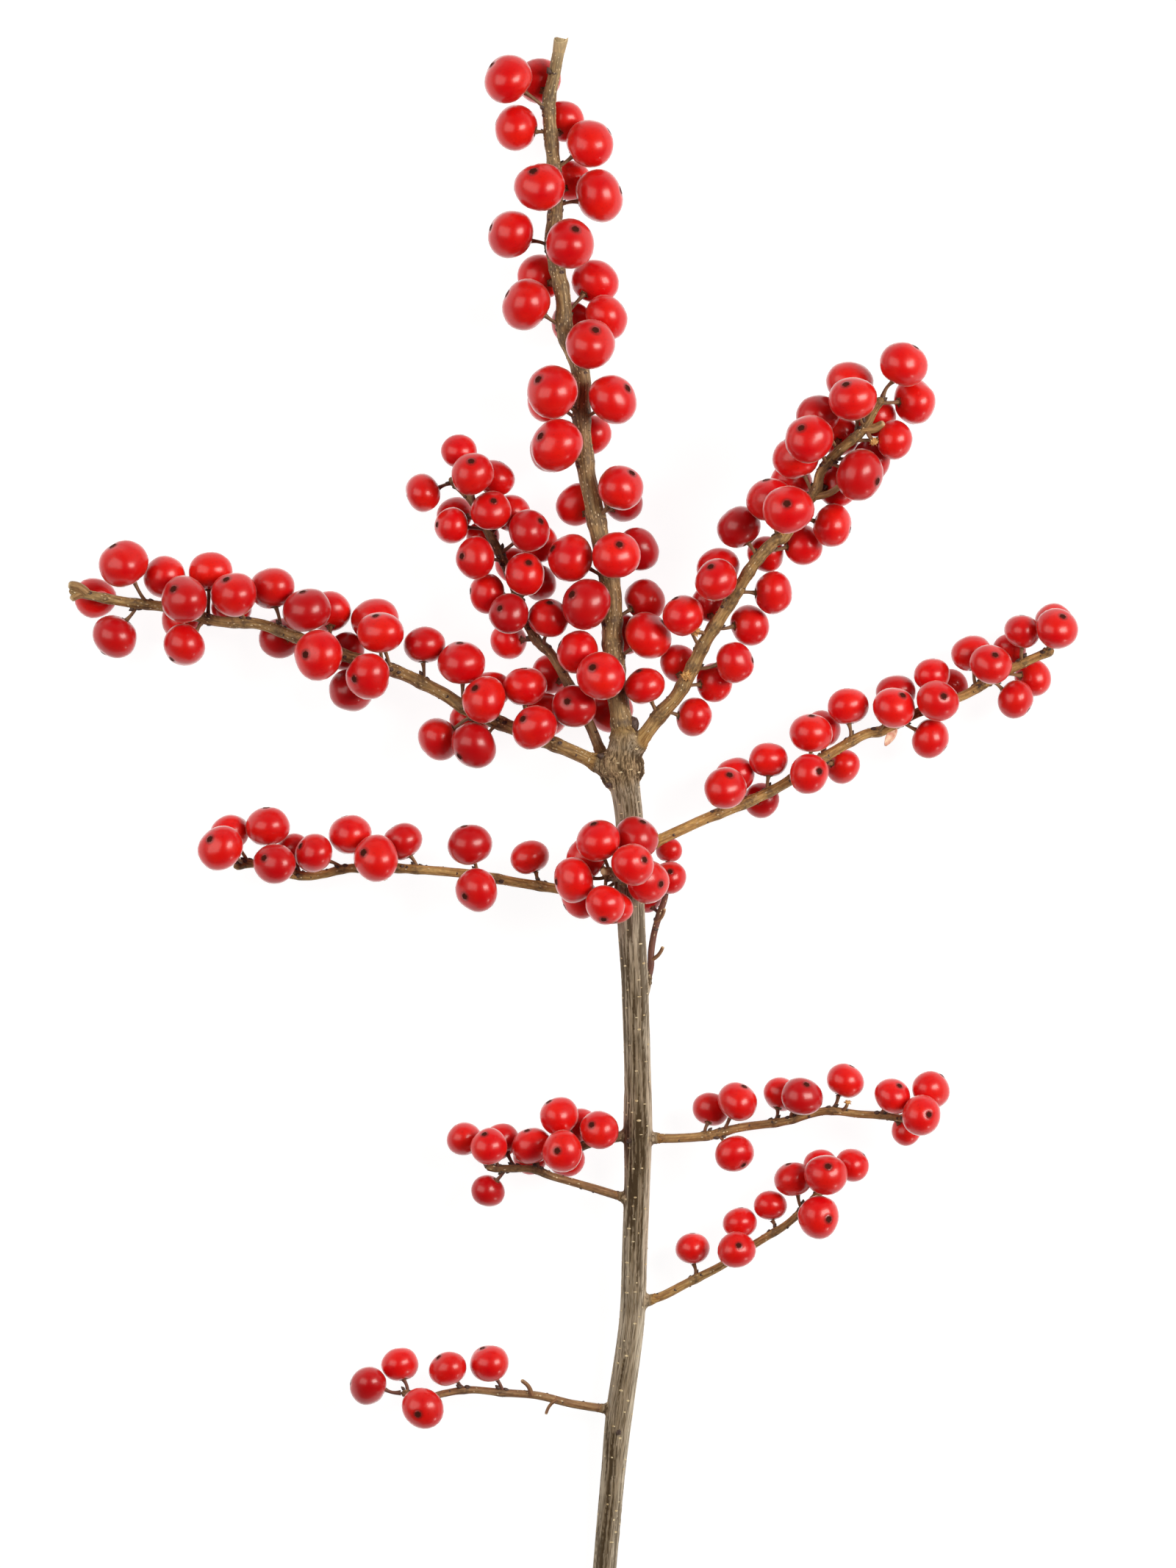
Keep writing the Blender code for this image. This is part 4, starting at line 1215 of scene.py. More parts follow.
def fruit_mesh(name, draw, creased=False):
    """A berry of radius 1 with its stalk end down: a raised, lobed scar on top, a dimple
    below, and round the dimple the small dried calyx."""
    oblate = OBLATE + draw.uniform(-0.12, 0.0)
    waves = [(count, draw.uniform(0, math.tau), draw.uniform(0.4 * size, size))
             for count, size in ((1, 0.02), (2, 0.045), (3, 0.018))]
    lobes = draw.choice((4, 5, 5, 6))
    steps = [0.05, 0.11, 0.15, 0.18, 0.23, 0.30, 0.39]
    steps += [0.39 + step * 0.196 for step in range(1, 13)]
    steps += [2.85, 2.97, 3.07]

    def skin_point(polar, angle):
        turn = polar
        if polar < SCAR_REACH:
            turn *= 1 + 0.12 * math.cos(lobes * angle)
        height = 1.0 - 0.035 * math.exp(-((turn / 0.3) ** 2))
        height -= 0.1 * math.exp(-(((math.pi - turn) / 0.3) ** 2))
        if 0.08 < polar < SCAR_REACH:
            height += 0.016
        for count, start, size in waves:
            height += size * math.sin(turn) * math.cos(count * angle + start)
        if creased:
            groove = max(0.0, math.cos(2.5 * angle)) ** 6
            height -= 0.05 * groove * math.sin(turn)
        side = height * math.sin(turn)
        return Vector((side * math.cos(angle), side * math.sin(angle),
                       height * oblate * math.cos(turn)))

    rings = [lambda angle, polar=polar: skin_point(polar, angle) for polar in steps]
    bottom = skin_point(math.pi, 0.0)
    mesh = spun_mesh(rings, FRUIT_SEGMENTS, skin_point(0.0, 0.0), bottom)
    count = len(mesh.verts)

    def calyx_ring(reach, lift, pointed):
        def point(angle):
            spread = reach
            if pointed:
                lobe = abs(math.cos(CALYX_LOBES / 2 * angle)) ** 1.5
                spread *= 0.6 + 0.4 * lobe
            surface = skin_point(math.pi - spread, angle)
            return surface + surface.normalized() * lift
        return point

    star = spun_mesh(
        [calyx_ring(0.05, 0.045, False), calyx_ring(0.13, 0.035, False),
         calyx_ring(0.27, 0.02, True), calyx_ring(0.27, -0.02, True)],
        CALYX_LOBES * 3, (0, 0, bottom.z - 0.04), (0, 0, bottom.z + 0.2))
    both = bmesh.new()
    for piece in (mesh, star):
        data = as_mesh(piece, f"{name}_piece")
        both.from_mesh(data)
        bpy.data.meshes.remove(data)
    data = as_mesh(both, name)
    places = vertex_places(data)
    upright = places[:, 2] / np.maximum(np.linalg.norm(places, axis=1), 1e-6)
    in_fruit = np.arange(len(places)) < count
    set_values(data, pole=upright, scar=in_fruit & (upright > SCAR_EDGE))
    set_numbers(data, "part", "FACE", [face.vertices[0] >= count for face in data.polygons])
    return data


def bud_mesh(name):
    """A winter bud of length 1: a pointed drop of overlapping scales."""
    def ring(height, width):
        def point(angle):
            reach = 1 + 0.1 * math.cos(3 * angle + 9 * height)
            return Vector((width * math.cos(angle) * reach,
                           width * math.sin(angle) * reach, height))
        return point

    profile = [(0.92, 0.08), (0.75, 0.2), (0.5, 0.33), (0.25, 0.37), (0.05, 0.28)]
    mesh = spun_mesh([ring(*step) for step in profile], 9, (0, 0, 1.0), (0, 0, -0.15))
    return part_mesh(mesh, name, MAIN)


def scar_mesh(name):
    """The half-round pad that a fallen leaf leaves below its bud."""
    def ring(reach, height):
        return lambda angle: Vector((reach * math.cos(angle),
                                     0.7 * reach * math.sin(angle), height))
    rings = [ring(0.25, 0.16), ring(0.5, 0.25), ring(0.8, 0.14), ring(0.85, -0.3)]
    mesh = spun_mesh(rings, 10, (0, 0, 0.1), (0, 0, -0.5))
    return part_mesh(mesh, name, MAIN)


def star_mesh(name):
    """The calyx that stays on its stalk when a berry has dropped: a ragged star of dry
    fibres."""
    draw = random.Random(SEED)
    fringe = [draw.uniform(0.8, 1.05) if index % 2 else draw.uniform(0.4, 0.6)
              for index in range(STAR_POINTS * 2)]
    rise = [draw.uniform(-0.15, 0.4) for _ in fringe]

    def ring(reach, height, ragged):
        def point(angle):
            index = round(angle / math.tau * len(fringe)) % len(fringe)
            length = reach * (1 - ragged * (1 - fringe[index]))
            return Vector((length * math.cos(angle), length * math.sin(angle),
                           height + ragged * rise[index]))
        return point

    rings = [ring(0.18, 0.42, 0.3), ring(0.38, 0.22, 0.4), ring(0.7, 0.26, 0.8),
             ring(1.0, 0.2, 1.0), ring(0.85, 0.08, 1.0), ring(0.3, -0.1, 0.0)]
    mesh = spun_mesh(rings, len(fringe), (0, 0, 0.22), (0, 0, -0.3))
    return part_mesh(mesh, name, SECOND)


def part_mesh(mesh, name, part):
    """A Blender mesh whose faces all carry this part number."""
    data = as_mesh(mesh, name)
    set_numbers(data, "part", "FACE", [part] * len(data.polygons))
    return data


def pore_object(size):
    """A pore: a low corky blister of this half length, half width and height."""
    half_length, half_width, height = size

    def ring(reach, rise):
        return lambda angle: Vector((
            half_length * reach * math.cos(angle) * MM,
            half_width * reach * math.sin(angle) * MM,
            height * rise * MM,
        ))

    rings = [ring(0.45, 0.9), ring(0.85, 0.55), ring(1.0, -0.6)]
    mesh = spun_mesh(rings, 7, (0, 0, height * 0.6 * MM), (0, 0, -height * MM))
    return make_object("pore", as_mesh(mesh, "pore"))


def shape_collection(name, meshes):
    """A collection with one object for each mesh, for a tree to pick from."""
    group = bpy.data.collections.new(name)
    for data in meshes:
        group.objects.link(bpy.data.objects.new(data.name, data))
    return group


def remove_shapes(group):
    """Remove such a collection with its objects and meshes."""
    discard(*list(group.objects))
    bpy.data.collections.remove(group)


def cluster(name, points, group, main, second, unevenness=0.0):
    """Put a shape of the group on each point; a point is a dictionary."""
    data = bpy.data.meshes.new(name)
    data.from_pydata([tuple(point["at"]) for point in points], [], [])
    set_values(data, axis=[tuple(point["axis"]) for point in points])
    for label in ("size", "spin", "tint"):
        set_values(data, **{label: [point.get(label, 0.0) for point in points]})
    set_numbers(data, "shape", "POINT", [point["shape"] for point in points])
    return run_tree(make_object(name, data), cluster_tree(), {
        "Shapes": group,
        "Unevenness": unevenness,
        "Dent Size": 1 / (DENT_SIZE * MM),
        "Main Material": main,
        "Second Material": second,
    })


# ---------------------------------------------------------------- wood


def tube(mesh, path, distances, radii, sides, slant=0.0):
    """Add a closed tube along a path to a bmesh, with its first end cut at a slant."""
    loops = []
    angles = [math.tau * step / sides for step in range(sides)]
    for distance, radius in zip(distances, radii):
        heading = path.heading(distance)
        shift = Vector((0, 0, 0)) if loops else heading * slant * radius
        loops.append([
            mesh.verts.new(place(path.at(distance) + clock_hand(heading, angle) * radius
                                 + shift * math.cos(angle)))
            for angle in angles
        ])
    for near, far in zip(loops, loops[1:]):
        for step in range(sides):
            following = (step + 1) % sides
            mesh.faces.new((near[step], near[following], far[following], far[step]))
    mesh.faces.new(list(reversed(loops[0])))
    mesh.faces.new(loops[-1])


@functools.lru_cache(maxsize=None)
def stem_line():
    """The stem's path, how far along it the points of its table lie, and their radii."""
    path = Path([point for point, _ in STEM])
    knots = [path.along[index * PATH_STEPS] for index in range(len(STEM))]
    return path, knots, [radius for _, radius in STEM]


def stem_blank(look):
    """The stem, its knuckle and its collars, grown together into one smooth body."""
    paths, _ = grow_sprig()
    path, knots, girths = stem_line()
    distances = np.linspace(0, path.length, round(path.length))
    radii = np.interp(distances, knots, girths)
    radii *= np.interp(path.length - distances, [0, 1.2, 3.0], [0.7, 0.93, 1.0])
    mesh = bmesh.new()
    tube(mesh, path, distances, radii, STEM_SIDES, slant=CUT_SLANT)
    for middle, half in KNOBS:
        found = bmesh.ops.create_icosphere(mesh, subdivisions=4, radius=1.0)
        for vertex in found["verts"]:
            reach = Vector([value * size for value, size in zip(vertex.co, half)])
            vertex.co = place(Vector(middle) + reach)
    for name, twig in paths.items():
        mouth = SPRAYS[name].get("collar", COLLAR_LENGTH) + COLLAR_RUN_OUT
        stops = np.linspace(-COLLAR_DEPTH, mouth, COLLAR_RINGS)
        flare = np.interp(stops, [-COLLAR_DEPTH, 0.0, 1.2, mouth],
                          [COLLAR_FLARE, COLLAR_FLARE * 0.93, 1.12, 0.9])
        tube(mesh, twig, stops, SPRAYS[name]["wood"][0] * flare, TWIG_SIDES)
    blank = make_object("stem", as_mesh(mesh, "stem"))
    merge = blank.modifiers.new("merge", "REMESH")
    merge.mode = "VOXEL"
    merge.voxel_size = look.stem_grid
    soften = blank.modifiers.new("soften", "SMOOTH")
    soften.iterations = SOFTENING_ROUNDS
    return keep_result(blank)


def nearest_on(points, path, first, last):
    """Where points lie by a path: the distance along it, the step from its middle in
    the directions of 12 and 3 o'clock, and the direction of the path there."""
    stops = np.linspace(first, last, max(3, round((last - first) / SAMPLE_STEP)))
    centres = np.array([path.at(stop) for stop in stops])
    headings = np.array([path.heading(stop) for stop in stops])
    twelves, threes = (
        np.array(side) for side in zip(*(clock_axes(Vector(way)) for way in headings)))
    chosen = np.zeros(len(points), dtype=int)
    for start in range(0, len(points), CHUNK):
        chunk = points[start:start + CHUNK]
        gaps = ((chunk[:, None, :] - centres[None]) ** 2).sum(axis=2)
        chosen[start:start + CHUNK] = gaps.argmin(axis=1)
    steps = points - centres[chosen]
    onward, up, side = (
        (steps * ways[chosen]).sum(axis=1) for ways in (headings, twelves, threes))
    return stops[chosen] + onward, up, side, headings[chosen]


def smoothstep(values, low, high):
    """0 below low, 1 above high, and smooth between them."""
    share = np.clip((values - low) / (high - low), 0, 1)
    return share * share * (3 - 2 * share)


def describe_stem(data):
    """Store what the bark's pattern needs: the place along and round the wood, and how
    much of each vertex is twig, knot or cut end."""
    paths, _ = grow_sprig()
    points = vertex_places(data) / MM + np.array(BOX_MIDDLE)
    path, knots, girths = stem_line()
    along, up, side, grain = nearest_on(points, path, 0.0, path.length)
    radius = np.interp(along, knots, girths)
    ratio = np.hypot(up, side) / radius
    wander = 0.12 * np.sin(along / 9.0) + 0.05 * np.sin(along / 2.3 + 1.0)
    stretch = (points[:, 1] - PALE_STRETCH[0]) / PALE_STRETCH[1]
    # How pale the stem is painted. Along its right edge and, fainter, its left edge as seen from
    # the camera this is painted light from the side lamps. Along its pale stretch it is the bark's
    # own paler tone.
    weathered = np.maximum.reduce([
        smoothstep(side / radius + wander, 0.4, 0.8),
        0.6 * smoothstep(-side / radius + wander, 0.4, 0.85),
        0.55 * np.exp(-(stretch ** 2)),
    ])
    where = np.stack([up, side, along], axis=1)
    twigness, warm, red, knotty = np.zeros((4, len(points)))
    for middle, half in KNOBS:
        share = np.linalg.norm((points - np.array(middle)) / np.array(half), axis=1)
        knotty = np.maximum(knotty, 1 - smoothstep(share, 0.9, 1.5))
    for name, twig in paths.items():
        near = np.linalg.norm(points - np.array(twig.at(0.0)), axis=1) < COLLAR_AREA
        run, above, beside, heading = nearest_on(
            points[near], twig, -COLLAR_DEPTH, COLLAR_AREA)
        close = np.hypot(above, beside) / SPRAYS[name]["wood"][0]
        out = smoothstep(ratio[near], 1.1, 1.6) * (1 - smoothstep(close, 1.8, 2.3))
        if name == "spray_leader":
            out = smoothstep(run, -1.5, 1.0)
        else:
            out *= smoothstep(run, -0.5, 0.6)
        local = np.stack([above, beside, run + leaving(name)], axis=1)
        share = out[:, None]
        for values, there in ((where, local), (grain, heading)):
            values[near] = values[near] * (1 - share) + there * share
        for values, there in zip((warm, red), TONES[name]):
            values[near] = values[near] * (1 - out) + there * out
        twigness[near] = np.maximum(twigness[near], out)
        foot = 1 - smoothstep(np.abs(run), 1.0, 3.5)
        knotty[near] = np.maximum(knotty[near], 0.7 * foot * (1 - smoothstep(close, 1.6, 2.6)))
    heading = path.heading(0.0)
    twelve, _ = clock_axes(heading)
    plane = np.array((heading - twelve * CUT_SLANT).normalized())
    depth = (points - np.array(path.at(0.0))) @ plane
    set_values(data, bark_place=where, grain=grain, twigness=twigness, warm=warm, red=red,
               knotty=knotty, weathered=weathered * (1 - knotty),
               cut=1 - smoothstep(depth, 0.15, 0.35), ring=ratio)


@functools.lru_cache(maxsize=None)
def leaving(name):
    """How far along the stem a twig leaves it, so that both barks share one pattern."""
    root = np.array([grow_sprig()[0][name].at(0.0)])
    path = stem_line()[0]
    return nearest_on(root, path, 0.0, path.length)[0][0]


def grow_wood(thing, tree, inputs, pore=None):
    """Run a tree of wood on an object, with pores of this size or with none."""
    inputs = {"Pore Spacing": WIDE_SPACING, "Pore Density": 0.0, "Seed": SEED, **inputs}
    if pore:
        shape = pore_object(pore)
        inputs.update({"Pore Shape": shape, "Pore Material": finishes()["pore"]})
    run_tree(thing, tree, inputs)
    if pore:
        discard(shape)
    return thing


def path_mesh(name, lines):
    """A mesh of lines for a tree to grow wood on.

    A line is a dictionary of lists, one value for each of its points.
    """
    points, edges, grains = [], [], []
    for line in lines:
        start = len(points)
        points += [tuple(place(point)) for point in line["points"]]
        edges += [(index, index + 1) for index in range(start, len(points) - 1)]
        steps = np.gradient(np.array(line["points"]), axis=0)
        grains.append(steps / np.linalg.norm(steps, axis=1)[:, None])
    data = bpy.data.meshes.new(name)
    data.from_pydata(points, edges, [])
    for label in ("girth", "along", "warm", "red", "cut", "node"):
        set_values(data, **{label: np.concatenate([
            np.broadcast_to(line[label], len(line["points"])) for line in lines])})
    set_values(data, grain=np.concatenate(grains))
    return make_object(name, data)


def twig_line(name):
    """The middle line of a twig, with a swelling at every axil and a rounded tip."""
    path, spray = grow_sprig()[0][name], SPRAYS[name]
    stops = np.append(np.arange(-TWIG_ROOT, path.length, TWIG_STEP), path.length)
    radii = taper(spray["wood"], np.clip(stops, 0, None), path.length)
    knobs = np.zeros(len(stops))
    for distance in spray["axils"]:
        knobs = np.maximum(knobs, np.exp(-(((stops - distance - 0.3) / AXIL_LENGTH) ** 2)))
    radii = radii * (1 + AXIL_SWELLING * knobs)
    left = np.clip((path.length - stops) / (1.3 * spray["wood"][1]), 0, 1)
    torn = name == "spray_leader"
    if not torn:
        radii = radii * np.sqrt(1 - (1 - left) ** 2 * 0.96)
    foot = 1 - smoothstep(stops, 0.6, 3.2)
    slender = spray["wood"][0] < 1.0
    warm, red = TONES[name]
    return {
        "points": [path.at(stop) for stop in stops],
        "girth": radii * MM,
        "along": stops + leaving(name),
        "warm": warm,
        "red": red + (0.9 - red) * 0.5 * foot * slender,
        "cut": DRIED_TIP * smoothstep(stops - path.length, -6.0, -2.0) * torn,
        "node": np.maximum(knobs, foot * slender),
    }


def stalk_line(berry, draw):
    """A berry's stalk: from the middle of the twig into the dimple, slightly bowed."""
    axis = (berry.middle - berry.axil).normalized()
    end = berry.middle - axis * berry.radius * (OBLATE - 0.1)
    bow = axis.orthogonal().normalized() * draw.uniform(-0.5, 0.5)
    bow += axis.cross(axis.orthogonal()).normalized() * draw.uniform(-0.5, 0.5)
    shares = np.linspace(0, 1, STALK_POINTS)
    warm, red = TONES[berry.spray]
    return {
        "points": [berry.axil.lerp(end, share) + bow * math.sin(math.pi * share) * 0.8
                   for share in shares],
        "girth": STALK_RADIUS * (0.74 + 0.55 * (1 - shares) ** 3 + 0.5 * shares ** 6) * MM,
        "along": shares * (end - berry.axil).length,
        "warm": warm * 0.5,
        "red": min(1.0, red + 0.45),
        "cut": 0.0,
        "node": 1 - smoothstep(shares, 0.1, 0.45),
    }


# ---------------------------------------------------------------- settings


def colour_setting(name, description, code):
    """A colour that a user may change, with its sRGB hex default."""
    return bpy.props.FloatVectorProperty(
        name=name, description=description, subtype="COLOR", size=4, min=0, max=1,
        default=linear(code),
    )


def number_setting(name, description, default, **kind):
    """A number that a user may change, with its default."""
    return bpy.props.FloatProperty(
        name=name, description=description, default=default, **kind,
    )


class HollyWood(bpy.types.PropertyGroup):
    """Sizes and colours of the stem and the twigs."""

    stem_grid: number_setting(
        "Stem Grid", "Size of the faces that the stem is grown with", 0.00027, unit="LENGTH")
    furrow_depth: number_setting(
        "Furrow Depth", "Depth of the furrows in the old bark", 0.00014, unit="LENGTH")
    knot_depth: number_setting(
        "Knot Wrinkles", "Height of the wrinkles round knots and collars",
        0.0002, unit="LENGTH")
    twig_wrinkles: number_setting(
        "Twig Wrinkles", "Height of the wrinkles in the young bark", 0.000025, unit="LENGTH")
    pore_spacing: number_setting(
        "Pore Spacing", "Least distance between two pores of a twig", 0.0006, unit="LENGTH")
    ridge_pale: colour_setting("Pale Ridge", "Weathered ridges of old bark", "AA9B86")
    ridge_dark: colour_setting("Dark Ridge", "Fresher ridges of old bark", "7E6D55")
    ridge_brown: colour_setting("Brown Ridge", "Ridges where the furrows crowd", "776449")
    furrow: colour_setting("Furrow", "The bottom of a furrow", "43341F")
    # The pale colour of the stem's edges as seen from the camera, which is painted light from the
    # side lamps, and of its pale stretch, which is the bark's own tone.
    weathered: colour_setting("Weathered", "The smooth side that faced the sun", "C6B9A4")
    knot_tan: colour_setting("Knot", "Bark of the knots between its cracks", "AA906C")
    knot_brown: colour_setting("Knot Cracks", "Scabby bark round the knots", "4F3A28")
    olive_dark: colour_setting("Dark Olive", "Shaded streaks of young bark", "675133")
    olive_pale: colour_setting("Pale Olive", "Lit streaks of young bark", "A68C5F")
    golden_dark: colour_setting("Dark Gold", "Streaks of golden young bark", "9C7039")
    golden_pale: colour_setting("Pale Gold", "Lit streaks of golden young bark", "CDA664")
    red_bark: colour_setting("Red Bark", "Thin reddish twigs and stalks", "6E3A34")
    fresh_wood: colour_setting("Fresh Wood", "Wood of a cut or torn end", "D6BE93")
    late_wood: colour_setting("Late Wood", "The darker half of a year ring", "BB9C68")
    pith: colour_setting("Pith", "The soft middle of the stem", "9C7B4E")


class HollyBerries(bpy.types.PropertyGroup):
    """Sizes and colours of the berries."""

    unevenness: number_setting(
        "Unevenness", "How far a berry swells out of round", 0.00015, unit="LENGTH")
    roughness: number_setting(
        "Roughness", "Roughness of the skin under its gloss", 0.33, min=0, max=1)
    coat: number_setting(
        "Wax", "Strength of the glossy wax on the skin", 0.28, min=0, max=1)
    deep_share: number_setting(
        "Deep Red Share", "Share of berries that are clearly darker", 0.14, min=0, max=1)
    skin: colour_setting("Skin", "The usual red of a berry", "D3040A")
    skin_warm: colour_setting("Warm Skin", "Where the red leans to orange", "DF180B")
    skin_deep: colour_setting("Deep Skin", "The red of an older berry", "A0030C")
    halo: colour_setting("Halo", "The skin round the scar", "7E1410")
    scar: colour_setting("Scar", "The scar at the far end", "451A12")


class HollyStage(bpy.types.PropertyGroup):
    """The floor, the light and the camera."""

    floor: colour_setting("Floor", "The pale floor", "707070")
    camera_height: number_setting(
        "Camera Height", "Height of the camera over the sprig", 2.0, unit="LENGTH")
    frame_height: number_setting(
        "Frame Height", "What the camera sees from bottom to top", 0.3047, unit="LENGTH")
    key_power: number_setting(
        "Key Power", "Power of the soft light on the right", 7.8, unit="POWER")
    fill_power: number_setting(
        "Fill Power", "Power of the soft light on the left", 5.0, unit="POWER")
    glint_power: number_setting(
        "Glint Power", "Power of the small low light", 0.5, unit="POWER")


# ---------------------------------------------------------------- operators


class HOLLY_OT_stem(bpy.types.Operator):
    """Grow the stem with its knuckle and collars, and carve its bark."""

    bl_idname = "holly.stem"
    bl_label = "Grow Stem"

    def execute(self, context):
        look = context.scene.holly_wood
        stem = stem_blank(look)
        describe_stem(stem.data)
        grow_wood(stem, fissure_tree(), {
            "Furrow Depth": look.furrow_depth,
            "Wrinkle Depth": look.knot_depth,
            "Bark": finishes()["old bark"],
            "Pore Spacing": STEM_PORE_SPACING,
            "Pore Density": STEM_PORE_DENSITY,
        }, STEM_PORE)
        stem.name = "bark_of_stem"
        dress(stem, "stem_bark", "main_stem")
        return {"FINISHED"}


class HOLLY_OT_twigs(bpy.types.Operator):
    """Grow the wood of every twig along its path."""

    bl_idname = "holly.twigs"
    bl_label = "Grow Twigs"

    def execute(self, context):
        look = context.scene.holly_wood
        for name in SPRAYS:
            twig = path_mesh(name.replace("spray", "twig"), [twig_line(name)])
            grow_wood(twig, tube_tree(), {
                "Sides": TWIG_SIDES,
                "Wrinkle Depth": look.twig_wrinkles,
                "Bark": finishes()["young bark"],
                "Pore Spacing": look.pore_spacing,
                "Pore Density": PORE_DENSITIES[name in PORED_TWIGS],
            }, TWIG_PORE)
            dress(twig, "twig_bark", name)
        return {"FINISHED"}


class HOLLY_OT_stalks(bpy.types.Operator):
    """Grow the stalks of the berries."""

    bl_idname = "holly.stalks"
    bl_label = "Grow Stalks"

    def execute(self, context):
        _, berries = grow_sprig()
        draw = random.Random(SEED)
        for name in SPRAYS:
            lines = [stalk_line(berry, draw) for berry in berries if berry.spray == name]
            stalks = path_mesh(name.replace("spray", "stalks"), lines)
            grow_wood(stalks, tube_tree(), {
                "Sides": STALK_SIDES,
                "Wrinkle Depth": STALK_WRINKLES,
                "Bark": finishes()["young bark"],
            })
            dress(stalks, "twig_bark", name)
        return {"FINISHED"}


class HOLLY_OT_berries(bpy.types.Operator):
    """Hang a berry with its calyx on every stalk."""

    bl_idname = "holly.berries"
    bl_label = "Grow Berries"

    def execute(self, context):
        look = context.scene.holly_berries
        _, berries = grow_sprig()
        draw = random.Random(SEED)
        creased_shape = FRUIT_SHAPES - 1
        group = shape_collection("fruits", [
            fruit_mesh(f"fruit_{index}", draw, index == creased_shape)
            for index in range(FRUIT_SHAPES)])
        for name in SPRAYS:
            points = []
            for berry in (item for item in berries if item.spray == name):
                creased = draw.random() < CREASED_SHARE
                deep = draw.random() < look.deep_share
                points.append({
                    "at": place(berry.middle),
                    "axis": (berry.middle - berry.axil).normalized(),
                    "size": berry.radius * MM,
                    "spin": draw.uniform(0, math.tau),
                    "shape": creased_shape if creased else draw.randrange(creased_shape),
                    "tint": draw.uniform(*TINTS[deep]),
                })
            fruit = cluster(name.replace("spray", "berries"), points, group,
                            finishes()["skin"], finishes()["calyx"], look.unevenness)
            dress(fruit, "berry_skin", name)
        remove_shapes(group)
        return {"FINISHED"}


def axil_points(path, spray, draw):
    """Where a twig carries buds and leaf scars, and small knobs between its axils."""
    points = []
    for distance, hours in spray["axils"].items():
        angle = math.radians(DEGREES_AN_HOUR * (hours[0] + draw.uniform(-0.6, 0.6)))
        heading = path.heading(distance)
        outward = clock_hand(heading, angle)
        foot = path.at(distance) + outward * taper(spray["wood"], distance, path.length)
        points.append({
            "at": place(foot + heading * 0.7), "axis": outward * 0.6 + heading * 0.8,
            "size": draw.uniform(0.8, 1.3) * MM, "shape": BUD,
        })
        points.append({
            "at": place(foot - heading * 0.6 + outward * 0.04),
            "axis": outward - heading * 0.35,
            "size": draw.uniform(0.55, 0.8) * MM, "shape": LEAF_SCAR,
        })
    for distance in np.arange(2.0, path.length - 1.0, KNOB_SPACING / spray["wood"][0]):
        distance += draw.uniform(-0.8, 0.8)
        heading = path.heading(distance)
        outward = clock_hand(heading, draw.uniform(0, math.tau))
        girth = taper(spray["wood"], distance, path.length)
        points.append({
            "at": place(path.at(distance) + outward * girth * 0.9),
            "axis": outward + heading * 0.5,
            "size": draw.uniform(0.35, 0.6) * MM, "shape": LEAF_SCAR,
        })
    return points


class HOLLY_OT_buds(bpy.types.Operator):
    """Set the buds and leaf scars at the axils, and the calyxes of dropped berries."""

    bl_idname = "holly.buds"
    bl_label = "Set Buds"

    def execute(self, context):
        paths, _ = grow_sprig()
        draw = random.Random(SEED)
        points = []
        for name, spray in SPRAYS.items():
            points += axil_points(paths[name], spray, draw)
        for shape, singles in ((BUD, SINGLE_BUDS), (STAR, EMPTY_CALYXES)):
            for foot, axis, size in singles:
                points.append({
                    "at": place(foot), "axis": Vector(axis).normalized(),
                    "size": size * MM, "shape": shape,
                    "spin": draw.uniform(0, math.tau) if shape == STAR else 0.0,
                })
        group = shape_collection("bud_shapes", [
            bud_mesh("small_0_bud"), scar_mesh("small_1_scar"), star_mesh("small_2_star")])
        buds = cluster("buds_and_scars", points, group, finishes()["bud"],
                       finishes()["tan calyx"])
        remove_shapes(group)
        dress(buds, "twig_bark", *SPRAYS)
        return {"FINISHED"}


class HOLLY_OT_scraps(bpy.types.Operator):
    """Add the bare stubs, the torn end of the leader and the withered bract."""

    bl_idname = "holly.scraps"
    bl_label = "Add Stubs and Bract"

    def execute(self, context):
        dress(bare_stubs(), "twig_bark", *SPRAYS)
        dress(torn_tip(), "twig_bark", "spray_leader")
        dress(withered_bract(), "twig_bark", "spray_right_long")
        return {"FINISHED"}


def bare_stubs():
    """Short stubs with no berry, each with a pale, rounded end."""
    lines = []
    for foot, end, girth in BARE_STUBS + CALYX_STALKS:
        foot, end = Vector(foot), Vector(end)
        length = (end - foot).length
        stops = np.append(np.arange(0, length - 0.02, 0.3), [length - 0.02, length])
        shares = stops / length
        bow = (end - foot).cross(Vector((0, 0, 1))).normalized() * 0.12 * length
        left = np.clip((length - stops) / (0.5 * girth), 0, 1)
        lines.append({
            "points": [foot.lerp(end, share) + bow * math.sin(math.pi * share)
                       for share in shares],
            "girth": girth * (1.25 - 0.3 * shares) * np.sqrt(1 - (1 - left) ** 2 * 0.75) * MM,
            "along": stops,
            "warm": 0.5,
            "red": 0.25 if girth > 0.5 else 0.6,
            "cut": 0.8 * smoothstep(length - stops, 0.3, 0.1),
            "node": 0.0,
        })
    return grow_wood(path_mesh("bare_stubs", lines), tube_tree(), {
        "Sides": STUB_SIDES,
        "Wrinkle Depth": STUB_WRINKLES,
        "Bark": finishes()["young bark"],
    })


